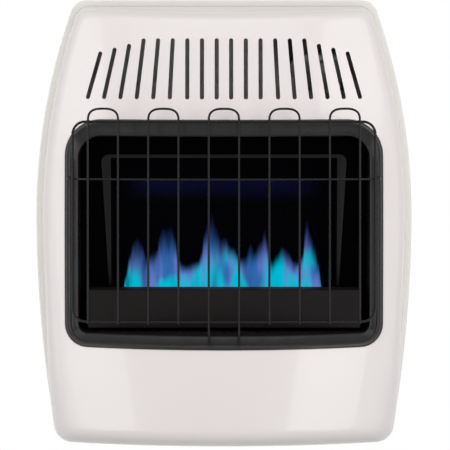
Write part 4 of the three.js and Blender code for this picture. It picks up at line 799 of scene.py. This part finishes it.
WIRES = 10
WIRE_PITCH = 0.0454
WIRE_R = 0.0017
FRAME_WIRE_R = 0.002
GUARD_DEPTH = 0.250
GUARD_LEAN = 4.8
GUARD_PLAN_R = 2.000
GUARD_HALF_WIDTH = 0.228
GUARD_TOP_Z = -0.0756
GUARD_BOTTOM_Z = -0.375
GUARD_CORNER_R = 0.019
LOOP_TOP_Z = -0.056
LOOP_RISE = 0.018
LOOP_FLATNESS = 0.72
RAIL_Z = -0.162
RAIL_HALF_LENGTH = BEZEL_HALF_WIDTH - 0.0082
HOOK_REACH = 0.040
WIRE_CLEARANCE = 0.0003
HAIRPIN_OFFSET = FRAME_WIRE_R + WIRE_R + WIRE_CLEARANCE
HAIRPIN_END_DROP = 0.003
# Steps along the top and bottom, up each side and round each corner
GUARD_STEPS = (24, 1, 8)
LOOP_STEPS = 24
RAIL_STEPS = 16
BEND_STEPS = 6
BEND_SHARE = 0.45
SLIGHT_BEND = 10
RAIL_BEND = 0.004
FOOT_BEND = 0.006
WIRE_SIDES = 4
WIRE_CREASE = 60


def guard_depth(x, z):
    return GUARD_DEPTH - (z - GUARD_BOTTOM_Z) * tan(radians(GUARD_LEAN)) - drop(GUARD_PLAN_R, x)


def on_guard(x, z, forward=0.0):
    return Vector((x, -guard_depth(x, z) - forward, z))


def rounded_path(corners, bend):
    """The corners, with each bend but the slight ones rounded."""
    points = [corners[0]]
    for before, corner, after in zip(corners, corners[1:], corners[2:]):
        if (corner - before).angle(after - corner) < radians(SLIGHT_BEND):
            points.append(corner)
            continue
        reach = min(bend, (corner - before).length * BEND_SHARE, (after - corner).length * BEND_SHARE)
        start = corner.lerp(before, reach / (corner - before).length)
        end = corner.lerp(after, reach / (after - corner).length)
        for j in range(BEND_STEPS + 1):
            share = j / BEND_STEPS
            points.append(start.lerp(corner, share).lerp(corner.lerp(end, share), share))
    return points + [corners[-1]]


def wire(name, points, radius, closed=False):
    """A round wire or tube along points: a poly curve with a round bevel, made a mesh."""
    curve = bpy.data.curves.new(name, "CURVE")
    curve.dimensions = "3D"
    curve.bevel_depth = radius
    curve.bevel_resolution = WIRE_SIDES
    curve.use_fill_caps = not closed
    spline = curve.splines.new("POLY")
    spline.points.add(len(points) - 1)
    for place, point in zip(spline.points, points):
        place.co = (*point, 1)
    spline.use_cyclic_u = closed
    piece = bpy.data.objects.new(name, curve)
    bpy.context.scene.collection.objects.link(piece)
    take(piece)
    bpy.ops.object.convert(target="MESH")
    smoothed(piece, WIRE_CREASE)
    return piece


guard_coat = Finish("black_wire_coat", base_color=(0.001, 0.001, 0.001, 1), roughness=0.25,
                    specular_ior_level=0.22)
guard_coat.worn(guard_coat.noise(120), 0.2, 0.32)
guard_coat.bump(guard_coat.noise(1500), 0.00002, 0.4)

guard_outline = frame_outline(
    GUARD_HALF_WIDTH, GUARD_TOP_Z, GUARD_BOTTOM_Z, GUARD_CORNER_R, GUARD_CORNER_R, *GUARD_STEPS)
guard_frame = wire(
    "guard_frame_wire", [on_guard(x, z) for x, z, _, _ in guard_outline], FRAME_WIRE_R, closed=True)
dressed(guard_frame, guard_coat, "guard_wire", "heater", "guard_frame")

rail_straight = GUARD_HALF_WIDTH - 0.020
rail_stepped = GUARD_HALF_WIDTH - 0.006
rail_seat = face_depth(RAIL_HALF_LENGTH, RAIL_Z) + BEZEL_LIP / 2
rail_right = [
    on_guard(rail_stepped, RAIL_Z, -HAIRPIN_OFFSET), on_guard(RAIL_HALF_LENGTH, RAIL_Z, -HAIRPIN_OFFSET),
    Vector((RAIL_HALF_LENGTH, -rail_seat, RAIL_Z)),
]
rail_left = [Vector((-point.x, point.y, point.z)) for point in reversed(rail_right)]
rail_run = [
    on_guard(mixed(-rail_straight, rail_straight, i / RAIL_STEPS), RAIL_Z, FRAME_WIRE_R - WIRE_R)
    for i in range(RAIL_STEPS + 1)
]
rail = wire("guard_rail_wire", rounded_path(rail_left + rail_run + rail_right, RAIL_BEND), WIRE_R)
dressed(rail, guard_coat, "guard_wire", "heater", "guard_rail")

RECESS_FLOOR_Z = BEZEL_BOTTOM_Z + BEZEL_BAND


def hairpin_path(left, footed):
    """Up one wire, round the loop and down the next. Footed, both ends turn back into the surround."""
    right = left + WIRE_PITCH
    spring = LOOP_TOP_Z - LOOP_RISE
    loop = []
    for i in range(LOOP_STEPS + 1):
        turn = pi * (1 - i / LOOP_STEPS)
        across = abs(cos(turn)) ** LOOP_FLATNESS * (1 if turn < pi / 2 else -1)
        rise = LOOP_RISE * max(0, sin(turn)) ** LOOP_FLATNESS
        loop.append(on_guard((left + right) / 2 + WIRE_PITCH / 2 * across, spring + rise, HAIRPIN_OFFSET))
    if not footed:
        low_z = GUARD_BOTTOM_Z - HAIRPIN_END_DROP
        return [on_guard(left, low_z, HAIRPIN_OFFSET)] + loop + [on_guard(right, low_z, HAIRPIN_OFFSET)]
    foot_z = RECESS_FLOOR_Z + WIRE_R + WIRE_CLEARANCE
    feet = []
    for x in (left, right):
        knee = on_guard(x, GUARD_BOTTOM_Z, HAIRPIN_OFFSET)
        knee.z = foot_z
        top = on_guard(x, GUARD_BOTTOM_Z, HAIRPIN_OFFSET) - Vector((0, 0, FRAME_WIRE_R))
        feet.append([knee + Vector((0, HOOK_REACH, 0)), knee, top])
    return rounded_path(feet[0], FOOT_BEND) + loop + rounded_path(feet[1], FOOT_BEND)[::-1]


first_wire = -WIRE_PITCH * (WIRES - 1) / 2
hairpins = WIRES // 2
for i in range(hairpins):
    footed = i == hairpins // 2
    path = hairpin_path(first_wire + 2 * i * WIRE_PITCH, footed)
    piece = wire(f"guard_hairpin_wire_{i + 1}", path, WIRE_R)
    dressed(piece, guard_coat, "guard_wire", "heater", f"guard_hairpin_{i + 1}")


# ---------------------------------------------------------------- window panel, trim and shield
# Folded sheet steel behind the opening: the panel with the window, a thin trim round its top and sides,
# and the dark brown burner shield below. They keep the model's shapes, with their edges softened.

SHARP_EDGE = 30
FLAT_ANGLE = 1
SOFT_CREASE = 40


def softened(name, node, width, segments=2):
    """A copy of a CAD node with its edges rounded."""
    piece = bpy.data.objects.new(name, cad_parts[node].data.copy())
    bpy.context.scene.collection.objects.link(piece)
    take(piece)
    bpy.ops.mesh.customdata_custom_splitnormals_clear()
    edit_all(bpy.ops.mesh.remove_doubles, threshold=MERGE_DISTANCE)
    edit_all(bpy.ops.mesh.dissolve_limited, angle_limit=radians(FLAT_ANGLE))
    modify(piece, "BEVEL", width=width, segments=segments, limit_method="ANGLE",
           angle_limit=radians(SHARP_EDGE))
    smoothed(piece, SOFT_CREASE)
    return piece


deep_black = Finish("matt_black_panel", base_color=(0.0006, 0.0005, 0.0005, 1), roughness=0.6,
                    specular_ior_level=0.01)
deep_black.bump(deep_black.noise(700), 0.00003, 0.4)
dressed(softened("window_panel_sheet", "window_panel", 0.0004), deep_black, "black_enamel", "heater",
        "window_panel")

trim_enamel = Finish("satin_black_trim", base_color=(0.0045, 0.004, 0.0042, 1), roughness=0.45,
                     specular_ior_level=0.14)
trim_enamel.worn(trim_enamel.noise(40, detail=3), 0.4, 0.52)
trim_enamel.bump(trim_enamel.noise(700), 0.00003, 0.4)
dressed(softened("window_trim_frame", "window_trim", 0.0012, segments=3), trim_enamel, "black_enamel",
        "heater", "window_trim")

brown_enamel = Finish("brown_heat_enamel", base_color=(0.009, 0.007, 0.0075, 1), roughness=0.55,
                      specular_ior_level=0.1)
brown_enamel.mottled_or_painted_shade(
    brown_enamel.noise(14, detail=3), (0.0105, 0.0075, 0.0078, 1), (0.0078, 0.006, 0.0065, 1))
brown_enamel.bump(brown_enamel.noise(500), 0.00004, 0.4)
dressed(softened("burner_shield_sheet", "burner_shield", 0.0006), brown_enamel, "brown_enamel", "heater",
        "burner_shield")


# ---------------------------------------------------------------- flames
# A row of blue gas flames over the burner ports: two wavering curtains of light, one behind the other,
# cyan at the foot, blue and lavender above, that fade out towards the tips.

FLAME_FOOT_Z = -0.3465
FLAME_DEPTH = 0.098
FLAME_HEIGHT = 0.130
FLAME_COLUMNS = 220
FLAME_ROWS = 20
LEAST_FLAME = 4
MM_PER_METRE = 1000
# How deep each fold of a curtain is, and how many radians of it go to a millimetre
BROAD_FOLD = (0.0035, 0.21)
FINE_FOLD = (0.002, 0.47)

FOOT_COLOUR = (0.12, 0.75, 0.9, 1)
CYAN = (0.0, 0.5, 0.68, 1)
LAVENDER = (0.12, 0.2, 0.6, 1)
CLEAR_BLUE = (0.03, 0.14, 0.42, 1)
TIP_BLUE = (0.02, 0.035, 0.2, 1)

# Tips and troughs from left to right: how far across, and how high over the burner, in millimetres
FLAME_FRONT = [
    (-158.6, 0), (-155, 26), (-148, 60), (-142, 82), (-136, 90), (-129, 78), (-122, 60), (-116, 52),
    (-111, 52), (-106, 64), (-101, 92), (-96, 106), (-90, 104), (-83, 111), (-77, 92), (-72, 58), (-66, 46),
    (-58, 44), (-50, 48), (-40, 50), (-35, 66), (-31, 98), (-25, 116), (-18, 128), (-12, 108), (-5, 88),
    (3, 90), (9, 76), (17, 64), (25, 56), (33, 58), (42, 80), (49, 64), (55, 56), (59, 80), (63, 104),
    (68, 88), (71, 60), (76, 50), (83, 60), (92, 74), (101, 66), (110, 50), (119, 48), (124, 62),
    (127, 104), (130, 120), (136, 96), (142, 76), (148, 48), (155, 0),
]
FLAME_BACK = [
    (-152, 0), (-146, 40), (-138, 58), (-126, 44), (-112, 64), (-98, 72), (-84, 60), (-70, 34), (-52, 38),
    (-36, 48), (-24, 92), (-14, 74), (0, 56), (14, 72), (28, 52), (44, 60), (60, 84), (74, 42), (92, 58),
    (108, 36), (124, 58), (134, 82), (143, 44), (150, 0),
]


def flame_height(profile, x):
    for (left, low), (right, high) in zip(profile, profile[1:]):
        if left <= x <= right:
            return mixed(low, high, eased(x, left, right))
    return 0


def flame_curtain(profile, depth, sway):
    """A sheet whose upper edge follows the profile. Its map's V is a share of the height there."""
    left, right = profile[0][0], profile[-1][0]
    bpy.ops.object.select_all(action="DESELECT")
    bpy.ops.mesh.primitive_grid_add(
        x_subdivisions=FLAME_COLUMNS, y_subdivisions=FLAME_ROWS, size=1, calc_uvs=True)
    curtain = bpy.context.object
    for vertex in curtain.data.vertices:
        x, up = mixed(left, right, vertex.co.x + 0.5), vertex.co.y + 0.5
        tall = max(LEAST_FLAME, flame_height(profile, x)) / MM_PER_METRE
        fold = BROAD_FOLD[0] * sin(x * BROAD_FOLD[1] + sway)
        fold += FINE_FOLD[0] * sin(x * FINE_FOLD[1] + 2 * sway)
        vertex.co = (x / MM_PER_METRE, -depth - fold * (1 - 0.5 * up), FLAME_FOOT_Z + tall * up)
    return curtain


flame_glow = Finish("blue_gas_flame", base_color=(0, 0, 0, 1), roughness=1, specular_ior_level=0,
                    emission_strength=1.0)
share_up = flame_glow.node("SeparateXYZ", {}, {0: flame_glow.node("TexCoord", output="UV")}, 1)
_, _, flame_z = flame_glow.axes()
rise = (flame_z - FLAME_FOOT_Z) / FLAME_HEIGHT
drift = flame_glow.noise(20, detail=1, stretch=(1.5, 1, 0.45))
streak = flame_glow.noise(46, detail=2, stretch=(1.6, 1, 0.25))
weave = flame_glow.noise(31, detail=1, stretch=(1.2, 1, 0.35))
upper = flame_glow.mix(weave.within(0.45, 0.62), LAVENDER, CLEAR_BLUE)
body_share = (rise * 1.8 + (drift - 0.5) * 3.4).within(0.0, 0.55)
body = flame_glow.mix(body_share, CYAN, upper)
tipped = flame_glow.mix(rise.within(0.35, 0.95), body, TIP_BLUE)
flame_glow.feed("Emission Color", flame_glow.mix(rise.within(0.0, 0.05), FOOT_COLOUR, tipped))
thin = share_up.within(0.5, 1.0, 1.0, 0.0)
flame_glow.feed("Alpha", thin * streak.within(0.25, 0.65, 0.35, 0.95))

# Each curtain's profile, how far forward it stands and where its folds start
CURTAINS = [(FLAME_FRONT, 0.003, 0.6), (FLAME_BACK, -0.006, 2.1)]
take(*[flame_curtain(profile, FLAME_DEPTH + forward, sway) for profile, forward, sway in CURTAINS])
bpy.ops.object.join()
flames = bpy.context.object
flames.name = "burner_flames"
bpy.ops.object.shade_smooth()
flames.data.materials.append(flame_glow.material)
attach(flames, "heater")


# ---------------------------------------------------------------- window glass
# One flat pane of clear heat resisting glass behind the panel, held by four clips. It is so clear that the
# flames and the firebox show through it almost unchanged.

clear_glass = Finish("clear_heat_glass", base_color=(0.02, 0.022, 0.025, 1), roughness=0.03, ior=1.45,
                     specular_ior_level=0.03)
clear_glass.feed("Alpha", clear_glass.noise(12, detail=3).within(0.3, 0.7, 0.01, 0.02))


def rounded_nodes(finish, slot, body, width, *nodes):
    """Copies of CAD nodes with rounded edges stand for them, on one body."""
    for node in nodes:
        dressed(softened(node + "_rounded", node, width), finish, slot, body, node)


def finish_nodes(finish, *nodes):
    """These CAD nodes keep their shapes and take a finish."""
    for node in nodes:
        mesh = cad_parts[node].data
        mesh.materials.clear()
        mesh.materials.append(finish.material)


finish_nodes(clear_glass, "glass_pane")


# ---------------------------------------------------------------- chassis and firebox
# Zinc coated sheet steel carries the burner and the window. A black firebox stands behind the glass, and
# the flames' faint blue light on its hood is painted on as emission.

HOOD_FADE_IN_Z = (-0.212, -0.180)
HOOD_FADE_OUT_Z = (-0.174, -0.168)
HOOD_FADE_X = (0.115, 0.165)

zinc = Finish("zinc_coated_steel", base_color=(0.42, 0.43, 0.44, 1), roughness=0.45, metallic=0.85)
zinc.mottled_or_painted_shade(zinc.noise(60, detail=3), (0.36, 0.37, 0.385, 1), (0.48, 0.49, 0.5, 1))
zinc.worn(zinc.noise(150), 0.36, 0.55)
zinc.bump(zinc.noise(220), 0.00004, 0.3)
finish_nodes(
    zinc, "side_support_left", "side_support_right", "burner_floor", "heat_shield", "burner_cradle_left",
    "burner_cradle_right")
rounded_nodes(zinc, "galvanised_steel", "heater", 0.0003,
              "wall_bracket", "cover_bracket_left", "cover_bracket_right", "valve_bracket")

dull_zinc = Finish("dull_zinc", base_color=(0.85, 0.81, 0.8, 1), roughness=0.7)
dull_zinc.mottled_or_painted_shade(dull_zinc.noise(45, detail=3), (0.8, 0.76, 0.75, 1), (0.9, 0.86, 0.85, 1))
dull_zinc.bump(dull_zinc.noise(260), 0.00004, 0.3)
finish_nodes(dull_zinc, "air_deflector")

soot_black = Finish("firebox_black", base_color=(0.0007, 0.0006, 0.0007, 1), roughness=0.85,
                    specular_ior_level=0.01, emission_strength=1.0)
hood_x, _, hood_z = soot_black.axes()
# Painted light: a faint patchy blue emission in a band across the hood stands in for the flames' light on it
painted_hood_glow = hood_z.within(*HOOD_FADE_IN_Z) * hood_z.within(*HOOD_FADE_OUT_Z, 1.0, 0.0)
painted_hood_glow = painted_hood_glow * hood_x.absolute().within(*HOOD_FADE_X, 1.0, 0.0)
patchy = soot_black.noise(9, detail=3, stretch=(0.5, 1, 1)).within(0.3, 0.6, 0.45, 1.0)
soot_black.feed("Emission Color", soot_black.mix(
    painted_hood_glow * patchy, (0.0, 0.0, 0.0003, 1), (0.0022, 0.0021, 0.016, 1)))
soot_black.bump(soot_black.noise(300, detail=3), 0.0001, 0.4)
finish_nodes(soot_black, "firebox")


# ---------------------------------------------------------------- burner, pilot and gas train
# Stainless burner and pilot, cast valve and regulator, drawn tubes, brass fittings and black leads. The
# knob, with its white index line, and the igniter button stand in a tray in the casing's top.

KNOB = (0.166, 0.042)
KNOB_GRIP_TOP_Z = 0.0995
INDEX_HALF_WIDTH = 0.0006
INDEX_FORWARD = (0.002, 0.0125)
INDEX_DEPTH = 0.0004
INDEX_STAND = 0.0001

stainless = Finish("plain_stainless", base_color=(0.5, 0.49, 0.47, 1), roughness=0.3, metallic=1.0)
stainless.worn(stainless.noise(90, detail=3, stretch=(0.1, 1, 1)), 0.24, 0.4)
finish_nodes(
    stainless, "glass_clip_top_left", "glass_clip_top_right", "glass_clip_bottom_left",
    "glass_clip_bottom_right", "burner_tube", "pilot_bracket", "pilot_burner", "thermocouple",
    "valve_push_rod", "valve_spindle")
rounded_nodes(stainless, "stainless_steel", "heater", 0.0004,
              "cover_screw_left", "cover_screw_right", "igniter_nut")

cast_metal = Finish("die_cast_alloy", base_color=(0.45, 0.46, 0.47, 1), roughness=0.5, metallic=0.9)
cast_metal.mottled_or_painted_shade(cast_metal.noise(80, detail=4), (0.38, 0.39, 0.4, 1), (0.52, 0.53, 0.54, 1))
cast_metal.bump(cast_metal.noise(600, detail=3), 0.00008, 0.5)
rounded_nodes(cast_metal, "cast_aluminium", "heater", 0.0008,
              "injector_block", "gas_valve", "valve_bonnet", "pressure_regulator")

tube_metal = Finish("drawn_tube", base_color=(0.5, 0.51, 0.52, 1), roughness=0.3, metallic=1.0)
tube_metal.worn(tube_metal.noise(60, detail=3), 0.25, 0.42)
finish_nodes(tube_metal, "supply_tube", "main_gas_tube", "pilot_tube")

brass = Finish("plain_brass", base_color=(0.48, 0.34, 0.13, 1), roughness=0.32, metallic=1.0)
brass.mottled_or_painted_shade(brass.noise(50, detail=4), (0.40, 0.27, 0.10, 1), (0.52, 0.37, 0.15, 1))
finish_nodes(brass, "gas_injector", "thermocouple_lead")
rounded_nodes(brass, "brass", "heater", 0.0005, "inlet_fitting")

porcelain = Finish("electrode_porcelain", base_color=(0.8, 0.78, 0.72, 1), roughness=0.2)
porcelain.worn(porcelain.noise(200), 0.15, 0.3)
finish_nodes(porcelain, "spark_electrode")

black_moulding = Finish("black_moulding", base_color=(0.015, 0.015, 0.016, 1), roughness=0.5,
                        specular_ior_level=0.4)
black_moulding.bump(black_moulding.noise(1800), 0.00003, 0.5)
finish_nodes(black_moulding, "ignition_lead")
rounded_nodes(black_moulding, "black_plastic", "knob", 0.0005, "control_knob")
rounded_nodes(black_moulding, "black_plastic", "button", 0.0005, "igniter_button")
rounded_nodes(black_moulding, "black_plastic", "heater", 0.0004, "piezo_igniter")
rounded_nodes(black_enamel, "black_enamel", "heater", 0.0004, "control_well")

# The index line lies in the grip's top, along the half that points forward at rest
index_paint = Finish("index_white", base_color=(0.75, 0.75, 0.73, 1), roughness=0.5)
index_paint.worn(index_paint.noise(300), 0.42, 0.58)
index_line = block(
    "knob_index_line",
    (KNOB[0] - INDEX_HALF_WIDTH, -KNOB[1] - INDEX_FORWARD[1], KNOB_GRIP_TOP_Z - INDEX_DEPTH),
    (KNOB[0] + INDEX_HALF_WIDTH, -KNOB[1] - INDEX_FORWARD[0], KNOB_GRIP_TOP_Z + INDEX_STAND))
modify(index_line, "BEVEL", width=0.0001, segments=2)
dressed(index_line, index_paint, "black_plastic", "knob")

soft_rubber = Finish("soft_black_rubber", base_color=(0.02, 0.02, 0.02, 1), roughness=0.85)
soft_rubber.bump(soft_rubber.noise(900), 0.00005, 0.5)
rounded_nodes(soft_rubber, "rubber", "heater", 0.0012, "wall_bumper_left", "wall_bumper_right")
